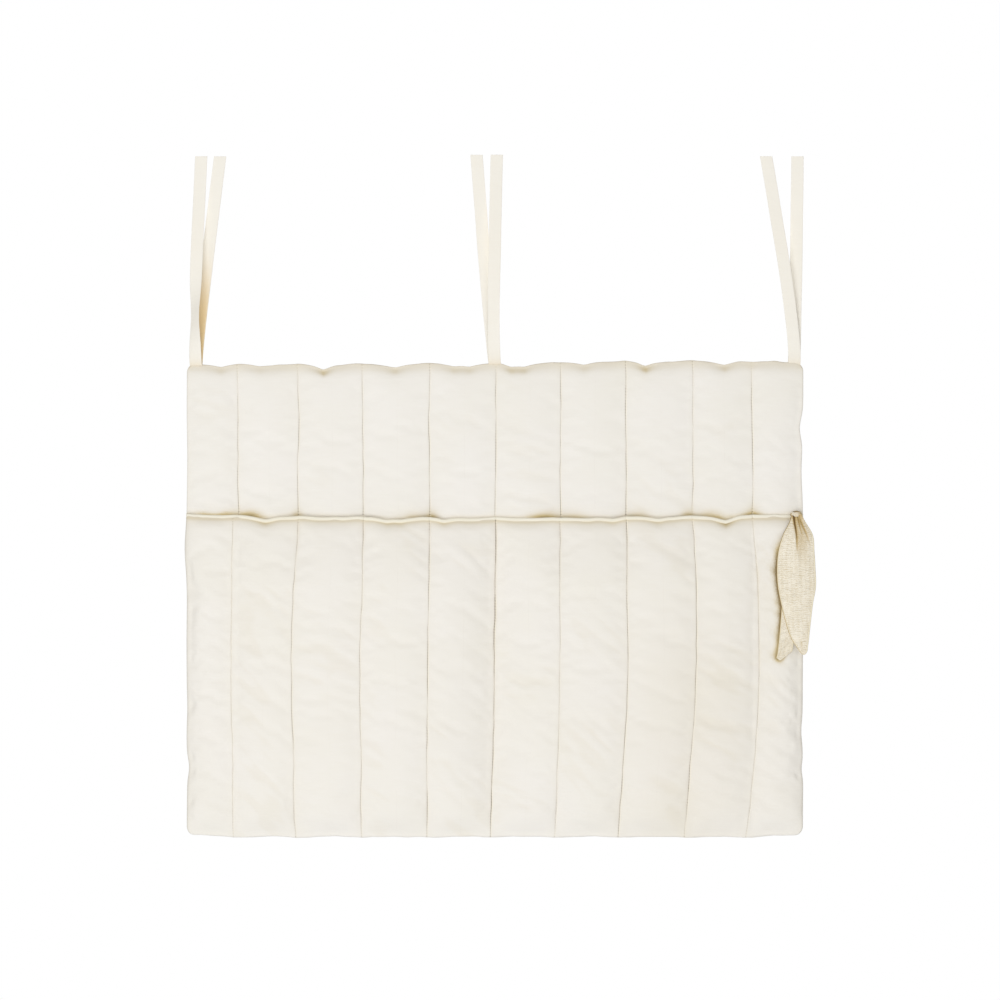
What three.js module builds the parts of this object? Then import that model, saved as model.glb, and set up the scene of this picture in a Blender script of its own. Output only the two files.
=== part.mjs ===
// Crib organizer: a quilted cotton panel that hangs inside a cot, with a full-width pocket across
// its front, three pairs of tie tapes along its top hem, and a crinkled gauze sash knotted at the
// right-hand end of the pocket's mouth.
// Millimetres. Seen from the front, +X is to the right and +Z is up. The front faces -Y.
// The origin is the middle of the top hem, where the ties are sewn in, on the panel's middle plane.

import * as THREE from "three";
import { mergeVertices } from "three/addons/utils/BufferGeometryUtils.js";

// Back panel: face cloth, wadding and lining, quilted together in upright channels.
const PANEL_WIDTH = 600;
const PANEL_HEIGHT = 462;
const CORNER_RADIUS = 9;
const CHANNEL_PITCH = 64; // from seam to seam, counted out from the middle seam
const OUTER_CHANNEL_WIDTH = 50; // from the last seam to the side hem
const SHORTEST_CHANNEL = 25; // a seam is left out where less than this would remain
const CREST_THICKNESS = 8; // all three layers at the crown of a channel
const SEAM_THICKNESS = 2.4; // all three layers pinched under a row of stitches
const CLOTH_THICKNESS = 0.4;
const LAYER_GAP = 0.3; // left between neighbouring layers and pieces
const HEM_FLAT = 4.5; // pressed-flat margin along a hem
const HEM_ROLL = 18; // distance from a hem to where the wadding is full
const TOP_DIP = 3; // how far the top hem sinks between two seams
const BOTTOM_DIP = 1.5; // how far the bottom hem rises between two seams

// Pocket: the same quilted layers, sewn down along both sides, the bottom and the middle seam.
const POCKET_HEIGHT = 315;
const POCKET_ROOM = 9; // clear room behind each half of the pocket
const SIDE_RISE = 90; // from the side hem to where the pocket stands fully clear
const DIVIDER_RISE = 64; // the same, from the middle seam
const BOTTOM_RISE = 90; // the same, from the bottom hem
const BOTTOM_RISE_STEPS = [0.32, 0.65, 1]; // where that rise is worked out, above the rolled hem
const MOUTH_DIP = 2.5; // how far the mouth sinks between two seams
const SPLIT_GAP = 0.3; // between a half of the pocket and the strip beside it

// Binding rolled over the pocket's mouth.
const BINDING_CLOTH = 0.7; // thickness of the folded strip
const BINDING_SKIRT = 3.2; // how far its two legs reach down over the mouth
const BINDING_CROWN_POINTS = 5;

// Tie tapes, in pairs at both corners and the middle.
const TAPE_WIDTH = 12;
const TAPE_THICKNESS = 1.2;
const TAPE_EDGE_THICKNESS = 0.7; // the folded edges are pressed flatter than the middle
const TAPE_SHOULDER = 0.8; // share of the tape's half width that is full thickness
const TAPE_LENGTH = 203;
const TAPE_STEPS = 10;
const TAPE_PAIR_GAP = 0.6; // between the two tapes of a pair, front to back
const TAPE_BOW = 2.5; // how far a tape bellies away from its partner half way up
const CORNER_TIE_INSET = 9; // from the side hem to the middle of a corner pair's root
const TAPE_LEANS = {
  left: { front: 5, rear: 23 },
  centre: { front: 2, rear: -18 },
  right: { front: -27, rear: 4.5 },
}; // how far to the right of its root each tape's cut end stands

// Sash: a knot on the binding and two tails that hang from it.
const KNOT_INSET = 7.3; // from the side hem to the middle of the knot
const KNOT_WIDTH = 13;
const KNOT_HEIGHT = 8.4;
const KNOT_DEPTH = 6.6;
const KNOT_WRAPS = 3; // turns of cloth that show as ridges round the knot
const KNOT_TOUCH_POINTS = [-0.9, -0.6, -0.3, 0, 0.3, 0.6, 0.9]; // across it, as shares of its half width
const KNOT_RIDGE = 0.12; // depth of the grooves between the turns, as a share of the knot's size
const SASH_THICKNESS = 1.2;
const FRONT_TAIL_LENGTH = 133;
const FRONT_TAIL_WIDTH = 38;
const LEAF_SKEW = 0.8; // under 1 puts the front tail's widest place above half way
const LEAF_END = 0.985; // stops the leaf just short of a point
const LEAF_ROOT_POWER = 0.45; // the leaf opens out fast under the knot
const LEAF_TIP_POWER = 0.75; // and closes more slowly towards its tip
const REAR_TAIL_LENGTH = 141;
const REAR_TAIL_WIDTH = 20;
const REAR_TAIL_END_WIDTH = 16;
const REAR_TAIL_OPENED = 0.3; // share of its length where the rear tail has its full width
const REAR_TAIL_ROUNDING = 0.93; // share where its rounded end starts
const TAIL_ROOT_WIDTH = 9; // where a tail is gathered into the knot
const FRONT_TAIL_DRIFT = 8; // how far right of the knot the front tail's tip hangs
const REAR_TAIL_DRIFT = -9;
const TAIL_CROWN = 3; // how far the front tail bellies forward
const PLEAT_DEPTH = 1.6; // gathers below the knot
const PLEAT_REACH = 0.55; // share of the length that the gathers reach down
const TAIL_SETTLED = 0.16; // share of the length over which a tail settles onto its hanging plane
const DRIFT_POWER = 1.6; // over 1 bends the tails aside mostly near their tips
const TAIL_STEPS = [0, 0.06, 0.14, 0.26, 0.42, 0.58, 0.74, 0.88, 0.96, 1];
const TAIL_COLUMNS = [-1, -0.67, -0.33, 0, 0.33, 0.67, 1];
const TAIL_CLEARANCE = 0.8; // between the tails, and between them and the pocket
const TAIL_ROOT_STEP = 2.4; // how far the front tail's root lies in front of the rear one's

// Where a channel's outline is worked out, as shares of its width. The middle stretch is its flat crown.
const CHANNEL_STATIONS = [0, 0.14, 0.38, 0.62, 0.86];
const CROWN_START = 0.38;
const PUFF_POWER = 0.7; // under 1 makes the channel's sides rise steeply

const halfWidth = PANEL_WIDTH / 2;
const outerSeam = halfWidth - OUTER_CHANNEL_WIDTH;
const seams = seamPositions();
const seamHalf = SEAM_THICKNESS / 2;
const crestHalf = CREST_THICKNESS / 2;
const mouthDepth = PANEL_HEIGHT - POCKET_HEIGHT;

const cottonFace = material("cotton_face", 0xf0ede4, 0.85);
const cottonLining = material("cotton_lining", 0xece7da, 0.88);
const wadding = material("wadding", 0xf7f6f2, 0.95);
const bindingCotton = material("binding_cotton", 0xf3ead2, 0.8);
const tapeCotton = material("tape_cotton", 0xf0ebe0, 0.82);
const sashGauze = material("sash_gauze", 0xe1d5b7, 0.9);

function material(name, color, roughness) {
  return new THREE.MeshStandardMaterial({ name, color, roughness, metalness: 0 });
}

// All quilting seams from left to right, with the side hems at the two ends.
function seamPositions() {
  const perSide = Math.floor((outerSeam - SHORTEST_CHANNEL) / CHANNEL_PITCH);
  const right = [halfWidth, outerSeam];
  for (let step = perSide; step > 0; step -= 1) {
    right.push(step * CHANNEL_PITCH);
  }
  const left = right.map((x) => -x);
  return [...left, 0, ...right.reverse()];
}

// How full a channel is at a share of its width: 0 on its seams and 1 over its crown.
function puff(share) {
  const rise = Math.sin(Math.PI * share) / Math.sin(Math.PI * CROWN_START);
  return Math.min(1, Math.max(0, rise) ** PUFF_POWER);
}

// How full the wadding is at a distance from a hem: a quarter wave from the flat margin up.
function hemFill(distance) {
  const share = THREE.MathUtils.clamp((distance - HEM_FLAT) / (HEM_ROLL - HEM_FLAT), 0, 1);
  return Math.sin((share * Math.PI) / 2);
}

// Columns of a quilted piece between two seams. The piece stops half a split short of a cut side.
function columnsBetween(from, to, cutLeft, cutRight) {
  const columns = [];
  const ends = seams.filter((x) => x >= from && x <= to);
  for (let index = 0; index + 1 < ends.length; index += 1) {
    const width = ends[index + 1] - ends[index];
    for (const share of CHANNEL_STATIONS) {
      columns.push({ x: ends[index] + share * width, puff: puff(share), dip: Math.sin(Math.PI * share) });
    }
  }
  columns.push({ x: to, puff: 0, dip: 0 });
  columns[0].x += cutLeft ? SPLIT_GAP / 2 : 0;
  columns[columns.length - 1].x -= cutRight ? SPLIT_GAP / 2 : 0;
  return columns;
}

// Moves a point of the panel's sharp corners onto round ones, keeping its share of the way out.
function roundCorner(x, z) {
  const across = Math.abs(x) - (halfWidth - CORNER_RADIUS);
  const middle = -PANEL_HEIGHT / 2;
  const upward = Math.abs(z - middle) - (PANEL_HEIGHT / 2 - CORNER_RADIUS);
  if (across <= 0 || upward <= 0) {
    return { x, z };
  }
  const stretch = Math.max(across, upward) / Math.hypot(across, upward);
  return {
    x: Math.sign(x) * (halfWidth - CORNER_RADIUS + across * stretch),
    z: middle + Math.sign(z - middle) * (PANEL_HEIGHT / 2 - CORNER_RADIUS + upward * stretch),
  };
}

// Place of a column at a depth below the top hem, with the scallops of the hems.
function panelPoint(column, depth, mouthSag) {
  const topShare = Math.max(0, 1 - depth / HEM_ROLL);
  const bottomShare = Math.max(0, 1 - (PANEL_HEIGHT - depth) / HEM_ROLL);
  const scallop = TOP_DIP * topShare - BOTTOM_DIP * bottomShare + mouthSag;
  return roundCorner(column.x, -depth - scallop * column.dip);
}

// Half the quilt's thickness where a channel and a hem meet.
function quiltHalf(column, hemDistance) {
  return seamHalf + (crestHalf - seamHalf) * column.puff * hemFill(hemDistance);
}

function backHalf(column, depth) {
  return quiltHalf(column, Math.min(depth, PANEL_HEIGHT - depth));
}

// How far the pocket has come away from the panel: 0 where it is sewn down, 1 where it stands clear.
function pocketOpen(x, depth) {
  const side = THREE.MathUtils.smoothstep(halfWidth - Math.abs(x), 0, SIDE_RISE);
  const divider = THREE.MathUtils.smoothstep(Math.abs(x), 0, DIVIDER_RISE);
  const bottom = THREE.MathUtils.smoothstep(PANEL_HEIGHT - depth, 0, BOTTOM_RISE);
  return Math.min(side, divider) * bottom;
}

// The pocket's middle surface, seated on the panel where it is sewn and flat where it stands clear.
function pocketMiddle(column, depth) {
  const fromMouth = depth - mouthDepth;
  const half = quiltHalf(column, Math.min(fromMouth, PANEL_HEIGHT - depth));
  const bindingRoom = (BINDING_CLOTH + LAYER_GAP) * (1 - hemFill(fromMouth));
  const seated = backHalf(column, depth) + LAYER_GAP + half + bindingRoom;
  const clear = 2 * crestHalf + POCKET_ROOM;
  return -THREE.MathUtils.lerp(seated, clear, pocketOpen(column.x, depth));
}

// One grid of points for each piece: place, middle surface and half thickness at every column and row.
function backGrid(columns) {
  const hem = [0, HEM_FLAT, (HEM_FLAT + HEM_ROLL) / 2, HEM_ROLL];
  const depths = [...hem, ...hem.map((d) => PANEL_HEIGHT - d).reverse()];
  return depths.map((depth) =>
    columns.map((column) => ({ ...panelPoint(column, depth, 0), y: 0, half: backHalf(column, depth) })),
  );
}

function pocketGrid(columns) {
  const hem = [0, HEM_FLAT, (HEM_FLAT + HEM_ROLL) / 2, HEM_ROLL];
  const rise = BOTTOM_RISE_STEPS.map((share) => THREE.MathUtils.lerp(HEM_ROLL, BOTTOM_RISE, share));
  const fromMouth = hem.map((d) => mouthDepth + d);
  const fromBottom = [...hem, ...rise].map((d) => PANEL_HEIGHT - d).reverse();
  return [...fromMouth, ...fromBottom].map((depth) => pocketRow(columns, depth));
}

function pocketRow(columns, depth) {
  const fromMouth = depth - mouthDepth;
  const hemDistance = Math.min(fromMouth, PANEL_HEIGHT - depth);
  const mouthSag = MOUTH_DIP * Math.max(0, 1 - fromMouth / HEM_ROLL);
  return columns.map((column) => ({
    ...panelPoint(column, depth, mouthSag),
    y: pocketMiddle(column, depth),
    half: quiltHalf(column, hemDistance),
  }));
}

// A closed sheet between two offsets from a grid's middle surface. front and back give how far each
// side stands from it towards -Y and +Y, from the grid's own half thickness.
function layerGeometry(grid, front, back) {
  const rows = grid.length;
  const across = grid[0].length;
  const positions = [];
  for (const row of grid) {
    row.forEach((point) => positions.push(point.x, point.y - front(point.half), point.z));
  }
  for (const row of grid) {
    row.forEach((point) => positions.push(point.x, point.y + back(point.half), point.z));
  }
  const backStart = rows * across;
  const triangles = [];
  for (let row = 0; row + 1 < rows; row += 1) {
    for (let column = 0; column + 1 < across; column += 1) {
      const corner = row * across + column;
      const below = corner + across;
      triangles.push(corner, below, corner + 1, corner + 1, below, below + 1);
      const rear = backStart + corner;
      const rearBelow = backStart + below;
      triangles.push(rear, rear + 1, rearBelow, rear + 1, rearBelow + 1, rearBelow);
    }
  }
  for (const [from, to] of gridBorder(rows, across)) {
    triangles.push(from, to, backStart + to, from, backStart + to, backStart + from);
  }
  return indexedGeometry(positions, triangles);
}

// The edges round a grid, each as two neighbouring point numbers, all in one turning sense.
function gridBorder(rows, across) {
  const round = [];
  for (let column = 0; column < across; column += 1) {
    round.push(column);
  }
  for (let row = 1; row < rows; row += 1) {
    round.push(row * across + across - 1);
  }
  for (let column = across - 2; column >= 0; column -= 1) {
    round.push((rows - 1) * across + column);
  }
  for (let row = rows - 2; row > 0; row -= 1) {
    round.push(row * across);
  }
  return round.map((point, index) => [point, round[(index + 1) % round.length]]);
}

function indexedGeometry(positions, triangles) {
  const geometry = new THREE.BufferGeometry();
  geometry.setAttribute("position", new THREE.Float32BufferAttribute(positions, 3));
  geometry.setIndex(triangles);
  geometry.computeVertexNormals();
  return geometry;
}

// A closed body through a row of rings that all have the same number of points.
function loftGeometry(rings, outline) {
  const count = outline.length;
  const positions = rings.flat().flatMap((point) => [point.x, point.y, point.z]);
  const triangles = [];
  for (let ring = 0; ring + 1 < rings.length; ring += 1) {
    for (let point = 0; point < count; point += 1) {
      const next = (point + 1) % count;
      const a = ring * count + point;
      const b = ring * count + next;
      triangles.push(a, b, a + count, b, b + count, a + count);
    }
  }
  const last = (rings.length - 1) * count;
  for (const [a, b, c] of THREE.ShapeUtils.triangulateShape(outline, [])) {
    triangles.push(a, c, b, last + a, last + b, last + c);
  }
  return indexedGeometry(positions, triangles);
}

function piece(name, geometry, surface) {
  const mesh = new THREE.Mesh(geometry, surface);
  mesh.name = name;
  return mesh;
}

// The three layers of a quilted piece, from front to back.
function quiltLayers(prefix, grid) {
  const skin = CLOTH_THICKNESS + LAYER_GAP;
  const whole = (half) => half;
  const inside = (half) => half - skin;
  const underFace = (half) => -(half - CLOTH_THICKNESS);
  return [
    piece(`${prefix}_face_cloth`, layerGeometry(grid, whole, underFace), cottonFace),
    piece(`${prefix}_wadding`, layerGeometry(grid, inside, inside), wadding),
    piece(`${prefix}_lining`, layerGeometry(grid, underFace, whole), cottonLining),
  ];
}

// U-shaped binding over the mouth, following its scallops. Its outline is in the plane across X.
function bindingPiece(prefix, columns) {
  const inner = seamHalf + LAYER_GAP;
  const outer = inner + BINDING_CLOTH;
  const outline = [new THREE.Vector2(outer, -BINDING_SKIRT)];
  for (let step = 0; step < BINDING_CROWN_POINTS; step += 1) {
    const angle = (Math.PI * step) / (BINDING_CROWN_POINTS - 1);
    const rise = LAYER_GAP + BINDING_CLOTH * Math.sin(angle);
    outline.push(new THREE.Vector2(outer * Math.cos(angle), rise));
  }
  outline.push(new THREE.Vector2(-outer, -BINDING_SKIRT), new THREE.Vector2(-inner, -BINDING_SKIRT));
  outline.push(new THREE.Vector2(-inner, LAYER_GAP), new THREE.Vector2(inner, LAYER_GAP));
  outline.push(new THREE.Vector2(inner, -BINDING_SKIRT));
  const mouth = pocketRow(columns, mouthDepth);
  const rings = mouth.map((edge) =>
    outline.map((point) => ({ x: edge.x, y: edge.y + point.x, z: edge.z + point.y })),
  );
  return piece(`${prefix}_binding`, loftGeometry(rings, outline), bindingCotton);
}

function backPanel() {
  return quiltLayers("back", backGrid(columnsBetween(-halfWidth, halfWidth, false, false)));
}

// The pocket is one quilted panel on the real thing. It is cut at the outermost seams and the
// middle seam, so that each half can swing open while the sewn-down side strips stay put.
function pocketPieces() {
  const stretches = [
    { prefix: "pocket_left_side", from: -halfWidth, to: -outerSeam, cutLeft: false, cutRight: true },
    { prefix: "pocket_left", from: -outerSeam, to: 0, cutLeft: true, cutRight: true },
    { prefix: "pocket_right", from: 0, to: outerSeam, cutLeft: true, cutRight: true },
    { prefix: "pocket_right_side", from: outerSeam, to: halfWidth, cutLeft: true, cutRight: false },
  ];
  return stretches.flatMap(({ prefix, from, to, cutLeft, cutRight }) => {
    const columns = columnsBetween(from, to, cutLeft, cutRight);
    return [...quiltLayers(prefix, pocketGrid(columns)), bindingPiece(prefix, columns)];
  });
}

// Highest point of the top hem under a tape's root.
function hemTopUnder(x, width) {
  const hem = backGrid(columnsBetween(-halfWidth, halfWidth, false, false))[0];
  const near = hem.filter((point) => Math.abs(point.x - x) <= width / 2);
  const edges = [x - width / 2, x + width / 2].map((at) => heightOnHem(hem, at));
  return Math.max(...near.map((point) => point.z), ...edges);
}

function heightOnHem(hem, x) {
  const next = hem.findIndex((point) => point.x >= x);
  const after = hem[next < 1 ? 1 : next];
  const before = hem[next < 1 ? 0 : next - 1];
  const share = THREE.MathUtils.clamp((x - before.x) / (after.x - before.x), 0, 1);
  return THREE.MathUtils.lerp(before.z, after.z, share);
}

// A flat tape from its root on the top hem to its cut end. front is -1 for the tape in front of
// its partner and 1 for the one behind. It bellies away from its partner as a half wave.
function tieTape(name, rootX, lean, front) {
  const halfTape = TAPE_WIDTH / 2;
  const middle = TAPE_THICKNESS / 2;
  const edge = TAPE_EDGE_THICKNESS / 2;
  const shoulder = halfTape * TAPE_SHOULDER;
  const outline = [
    new THREE.Vector2(-halfTape, -edge),
    new THREE.Vector2(-shoulder, -middle),
    new THREE.Vector2(shoulder, -middle),
    new THREE.Vector2(halfTape, -edge),
    new THREE.Vector2(halfTape, edge),
    new THREE.Vector2(shoulder, middle),
    new THREE.Vector2(-shoulder, middle),
    new THREE.Vector2(-halfTape, edge),
  ];
  const rootZ = hemTopUnder(rootX, TAPE_WIDTH) + LAYER_GAP;
  const rings = [];
  for (let step = 0; step <= TAPE_STEPS; step += 1) {
    const share = step / TAPE_STEPS;
    const away = (middle + TAPE_PAIR_GAP / 2) * front + TAPE_BOW * front * Math.sin(Math.PI * share) ** 2;
    const x = rootX + lean * share;
    const z = rootZ + TAPE_LENGTH * share;
    rings.push(outline.map((point) => ({ x: x + point.x, y: away + point.y, z })));
  }
  return piece(name, loftGeometry(rings, outline), tapeCotton);
}

function tiePairs() {
  const cornerRoot = halfWidth - CORNER_TIE_INSET;
  const roots = { left: -cornerRoot, centre: 0, right: cornerRoot };
  return Object.entries(TAPE_LEANS).flatMap(([side, lean]) => [
    tieTape(`tie_${side}_front`, roots[side], lean.front, -1),
    tieTape(`tie_${side}_rear`, roots[side], lean.rear, 1),
  ]);
}

// Front of the binding near the sash, at any place across the right-hand side strip.
function bindingFront(x) {
  const mouth = pocketRow(columnsBetween(outerSeam, halfWidth, true, false), mouthDepth);
  return surfaceAcross(mouth, x) - seamHalf - LAYER_GAP - BINDING_CLOTH;
}

// Foremost point of the pocket at a place across it, over the full channel below the mouth.
function pocketFront(x) {
  const row = pocketRow(columnsBetween(outerSeam, halfWidth, true, false), mouthDepth + HEM_ROLL);
  return surfaceAcross(row.map((point) => ({ ...point, y: point.y - point.half })), x);
}

function surfaceAcross(row, x) {
  const next = Math.max(1, row.findIndex((point) => point.x >= x));
  const share = (x - row[next - 1].x) / (row[next].x - row[next - 1].x);
  return THREE.MathUtils.lerp(row[next - 1].y, row[next].y, THREE.MathUtils.clamp(share, 0, 1));
}

// The knot's middle, as close to the binding as its round back lets it sit.
function knotCentre() {
  const x = halfWidth - KNOT_INSET;
  const backs = KNOT_TOUCH_POINTS.map((share) => {
    const depth = (KNOT_DEPTH / 2) * Math.sqrt(1 - share * share);
    return bindingFront(x + (share * KNOT_WIDTH) / 2) - LAYER_GAP - depth;
  });
  return new THREE.Vector3(x, Math.min(...backs), -mouthDepth);
}

// A squashed ball with shallow ridges round it, where the cloth wraps over itself.
function sashKnot() {
  const ball = new THREE.SphereGeometry(1, 16, 10);
  ball.deleteAttribute("normal");
  ball.deleteAttribute("uv");
  const geometry = mergeVertices(ball, 1e-4);
  const position = geometry.attributes.position;
  for (let index = 0; index < position.count; index += 1) {
    const point = new THREE.Vector3().fromBufferAttribute(position, index);
    const ridge = 1 - (KNOT_RIDGE / 2) * (1 - Math.cos(KNOT_WRAPS * Math.PI * point.x));
    const place = point.multiplyScalar(ridge);
    place.multiply(new THREE.Vector3(KNOT_WIDTH / 2, KNOT_DEPTH / 2, KNOT_HEIGHT / 2));
    position.setXYZ(index, place.x, place.y, place.z);
  }
  geometry.computeVertexNormals();
  const mesh = piece("sash_knot", geometry, sashGauze);
  mesh.position.copy(knotCentre());
  return mesh;
}

// Height of the knot's round underside over the part of a tail's root that lies closest to its middle.
function knotUnderside(rootShift) {
  const nearest = Math.max(0, Math.abs(rootShift) - SASH_THICKNESS / 2) / (KNOT_DEPTH / 2);
  return -mouthDepth - (KNOT_HEIGHT / 2) * Math.sqrt(1 - nearest * nearest);
}

// Width of the front tail: a leaf, fullest a little above half way down, with a narrow round tip.
function frontTailWidth(v) {
  const lobe = Math.sin(Math.PI * (LEAF_END * v) ** LEAF_SKEW);
  const leaf = FRONT_TAIL_WIDTH * lobe ** THREE.MathUtils.lerp(LEAF_ROOT_POWER, LEAF_TIP_POWER, v);
  return Math.max(TAIL_ROOT_WIDTH * (1 - v), leaf);
}

// Width of the rear tail: a strip that opens out from the knot and ends in rounded corners.
function rearTailWidth(v) {
  const opening = THREE.MathUtils.smoothstep(v, 0, REAR_TAIL_OPENED);
  const narrowing = THREE.MathUtils.smoothstep(v, REAR_TAIL_OPENED, REAR_TAIL_ROUNDING);
  const opened = THREE.MathUtils.lerp(TAIL_ROOT_WIDTH, REAR_TAIL_WIDTH, opening);
  const narrowed = THREE.MathUtils.lerp(opened, REAR_TAIL_END_WIDTH, narrowing);
  const endRound = (LEAF_END * Math.max(0, v - REAR_TAIL_ROUNDING)) / (1 - REAR_TAIL_ROUNDING);
  return narrowed * Math.sqrt(1 - endRound * endRound);
}

// A tail's grid, from its gathered root under the knot to its tip. It settles from the knot onto
// its own hanging plane, bellies forward by its crown and carries pleats that fade on the way down.
function tailGrid({ length, widthAt, drift, rootShift, planeY, crown, pleats }) {
  const knot = knotCentre();
  const rootZ = knotUnderside(rootShift) - LAYER_GAP;
  return TAIL_STEPS.map((v) => {
    const settle = THREE.MathUtils.smoothstep(v, 0, TAIL_SETTLED);
    const gather = PLEAT_DEPTH * pleats * Math.sin(Math.PI * Math.min(1, v / PLEAT_REACH));
    return TAIL_COLUMNS.map((u) => ({
      x: knot.x + drift * v ** DRIFT_POWER + (u * widthAt(v)) / 2,
      y: THREE.MathUtils.lerp(knot.y + rootShift, planeY, settle)
        - crown * (1 - u * u) * Math.sin(Math.PI * v)
        - gather * Math.cos(3 * Math.PI * u) * (1 - Math.abs(u)),
      z: rootZ - length * v,
      half: SASH_THICKNESS / 2,
    }));
  });
}

// The rear tail hangs just clear of the pocket, and the front tail just clear of the rear one.
function rearTailPlane() {
  const leftmost = halfWidth - KNOT_INSET + REAR_TAIL_DRIFT - REAR_TAIL_WIDTH / 2;
  return pocketFront(leftmost) - TAIL_CLEARANCE - SASH_THICKNESS / 2;
}

function sashTails() {
  const rearPlane = rearTailPlane();
  const frontPlane = rearPlane - SASH_THICKNESS - TAIL_CLEARANCE - PLEAT_DEPTH;
  const whole = (half) => half;
  const rear = tailGrid({
    length: REAR_TAIL_LENGTH,
    widthAt: rearTailWidth,
    drift: REAR_TAIL_DRIFT,
    rootShift: 0,
    planeY: rearPlane,
    crown: 0,
    pleats: 0,
  });
  const front = tailGrid({
    length: FRONT_TAIL_LENGTH,
    widthAt: frontTailWidth,
    drift: FRONT_TAIL_DRIFT,
    rootShift: -TAIL_ROOT_STEP,
    planeY: frontPlane,
    crown: TAIL_CROWN,
    pleats: 1,
  });
  return [
    piece("sash_rear_tail", layerGeometry(rear, whole, whole), sashGauze),
    piece("sash_front_tail", layerGeometry(front, whole, whole), sashGauze),
  ];
}

const organizer = new THREE.Group();
organizer.add(...backPanel(), ...pocketPieces(), ...tiePairs(), sashKnot(), ...sashTails());

export default organizer;
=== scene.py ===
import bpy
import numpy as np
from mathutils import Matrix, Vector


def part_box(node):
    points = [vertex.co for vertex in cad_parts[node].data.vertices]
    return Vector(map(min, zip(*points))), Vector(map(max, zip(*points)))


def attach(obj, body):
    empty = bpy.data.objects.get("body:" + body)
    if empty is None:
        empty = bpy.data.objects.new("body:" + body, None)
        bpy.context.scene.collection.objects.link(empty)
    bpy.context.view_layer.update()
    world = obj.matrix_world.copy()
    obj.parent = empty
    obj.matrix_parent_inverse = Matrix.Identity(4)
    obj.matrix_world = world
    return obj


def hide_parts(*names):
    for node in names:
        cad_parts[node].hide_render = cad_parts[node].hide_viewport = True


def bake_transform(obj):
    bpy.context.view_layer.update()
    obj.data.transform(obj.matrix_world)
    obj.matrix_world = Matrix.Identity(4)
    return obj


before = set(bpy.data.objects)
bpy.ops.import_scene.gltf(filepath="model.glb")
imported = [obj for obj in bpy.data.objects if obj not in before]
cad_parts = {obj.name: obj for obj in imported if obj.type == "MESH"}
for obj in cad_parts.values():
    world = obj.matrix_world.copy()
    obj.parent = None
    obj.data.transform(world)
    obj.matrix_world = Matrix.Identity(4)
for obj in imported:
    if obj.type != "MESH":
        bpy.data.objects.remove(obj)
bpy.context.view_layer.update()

# Looks of the crib organizer: an ivory quilted cotton panel with a divided pocket, six tie tapes
# and a crinkled gauze sash. Metres. The front faces -Y, +Z is up, and the origin is the middle of
# the top hem. A point of the quilt is named by s, its place across, and d, its depth below that hem.

MM = 0.001

# Sizes of the quilt, taken from the frame where it has them
back_low, back_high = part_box("back_face_cloth")
HALF_WIDTH = back_high.x
HEIGHT = -back_low.z
CREST_HALF = -back_low.y  # half the thickness at the crown of a channel
MOUTH = -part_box("pocket_left_face_cloth")[1].z  # depth of the pocket's mouth
OUTER_SEAM = HALF_WIDTH - 50 * MM
CHANNEL = 64 * MM
SEAMS = np.array([-HALF_WIDTH, -OUTER_SEAM, *(CHANNEL * np.arange(-3, 4)), OUTER_SEAM, HALF_WIDTH])
SEWN = SEAMS[1:-1]  # the rows of stitches, without the two side hems
SEAM_HALF = 1.2 * MM  # half the thickness under a row of stitches
CROWN_POWER = 0.44  # under 1 makes a channel's sides rise steeply from its seams to a flat middle
FAINT_SEAM_FILL = 0.5  # the pocket's outermost seams are drawn in this much less
FAINT_SEAM_REACH = 4 * MM
BESIDE_SEAM = 0.4 * MM  # where the nearest columns of points lie on both sides of a seam
CHANNEL_COLUMNS = 26
FINE_ROW = 2.2 * MM
COARSE_ROW = 4.5 * MM  # on the panel behind the pocket

# Hems and corners
CORNER_RADIUS = 9 * MM
HEM_FLAT = 1.6 * MM
HEM_ROLL = 14 * MM  # and twice as far at the bottom hem
FOLD_RADIUS = 1.2 * MM  # of the folded cloth at a hem
FOLD_STEPS = np.array([0, 0.06, 0.25, 0.6])  # where points lie round that fold, as shares of its radius
TOP_DIP = 0.9 * MM  # how far the top hem, the mouth and the bottom hem draw in between two seams
MOUTH_DIP = 0.6 * MM
BOTTOM_DIP = 1.2 * MM
TUCK_REACH = 9 * MM
FALL_REACH = 28 * MM  # depth over which the cloth evens out what its hem does
CORNER_LIFT = 2.5 * MM  # how far the bottom hem rises at its ends
LIFT_REACH = 22 * MM
LIFT_DEPTH = 60 * MM
HEM_WANDER = 0.5 * MM
SIDE_WANDER = 0.6 * MM
SIDE_BAND = 30 * MM  # width of the cloth that moves with a side hem
HEM_TILT = 3.0 * MM  # the top hem is this much higher in its right half
MOUTH_SAG = 3.5 * MM  # how far the pocket's mouth hangs in its middle
LEVEL_DEPTH = 90 * MM  # depth over which that tilt and that sag even out

# Tucks, where a hem is drawn in: its place across and how deep it dips, in millimetres
TOP_TUCKS = (
    (-266, 2.4), (-228, 1.6), (-166, 4.6), (-97, 3.0), (-41, 2.4), (-26, 2.2),
    (15, 3.2), (28, 2.8), (88, 2.4), (147, 4.8), (224, 3.2), (251, 1.5),
)
MOUTH_TUCKS = (
    (-222, 3.0), (-104, 1.8), (-90, 1.6), (-51, 2.2), (92, 0.9), (115, 1.6), (158, 1.8), (224, 4.2),
)

# Where a side hem is drawn in, or let out below zero: which side, its depth, how far and over what
# reach, in millimetres
SIDE_TUCKS = (
    (1, 63, 3.2, 13), (1, 104, 1.6, 24), (1, 358, 1.2, 12), (1, 395, 1.4, 8),
    (-1, 393, 2.0, 11), (-1, 335, 0.6, 16), (-1, 180, -2.4, 26),
)

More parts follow.
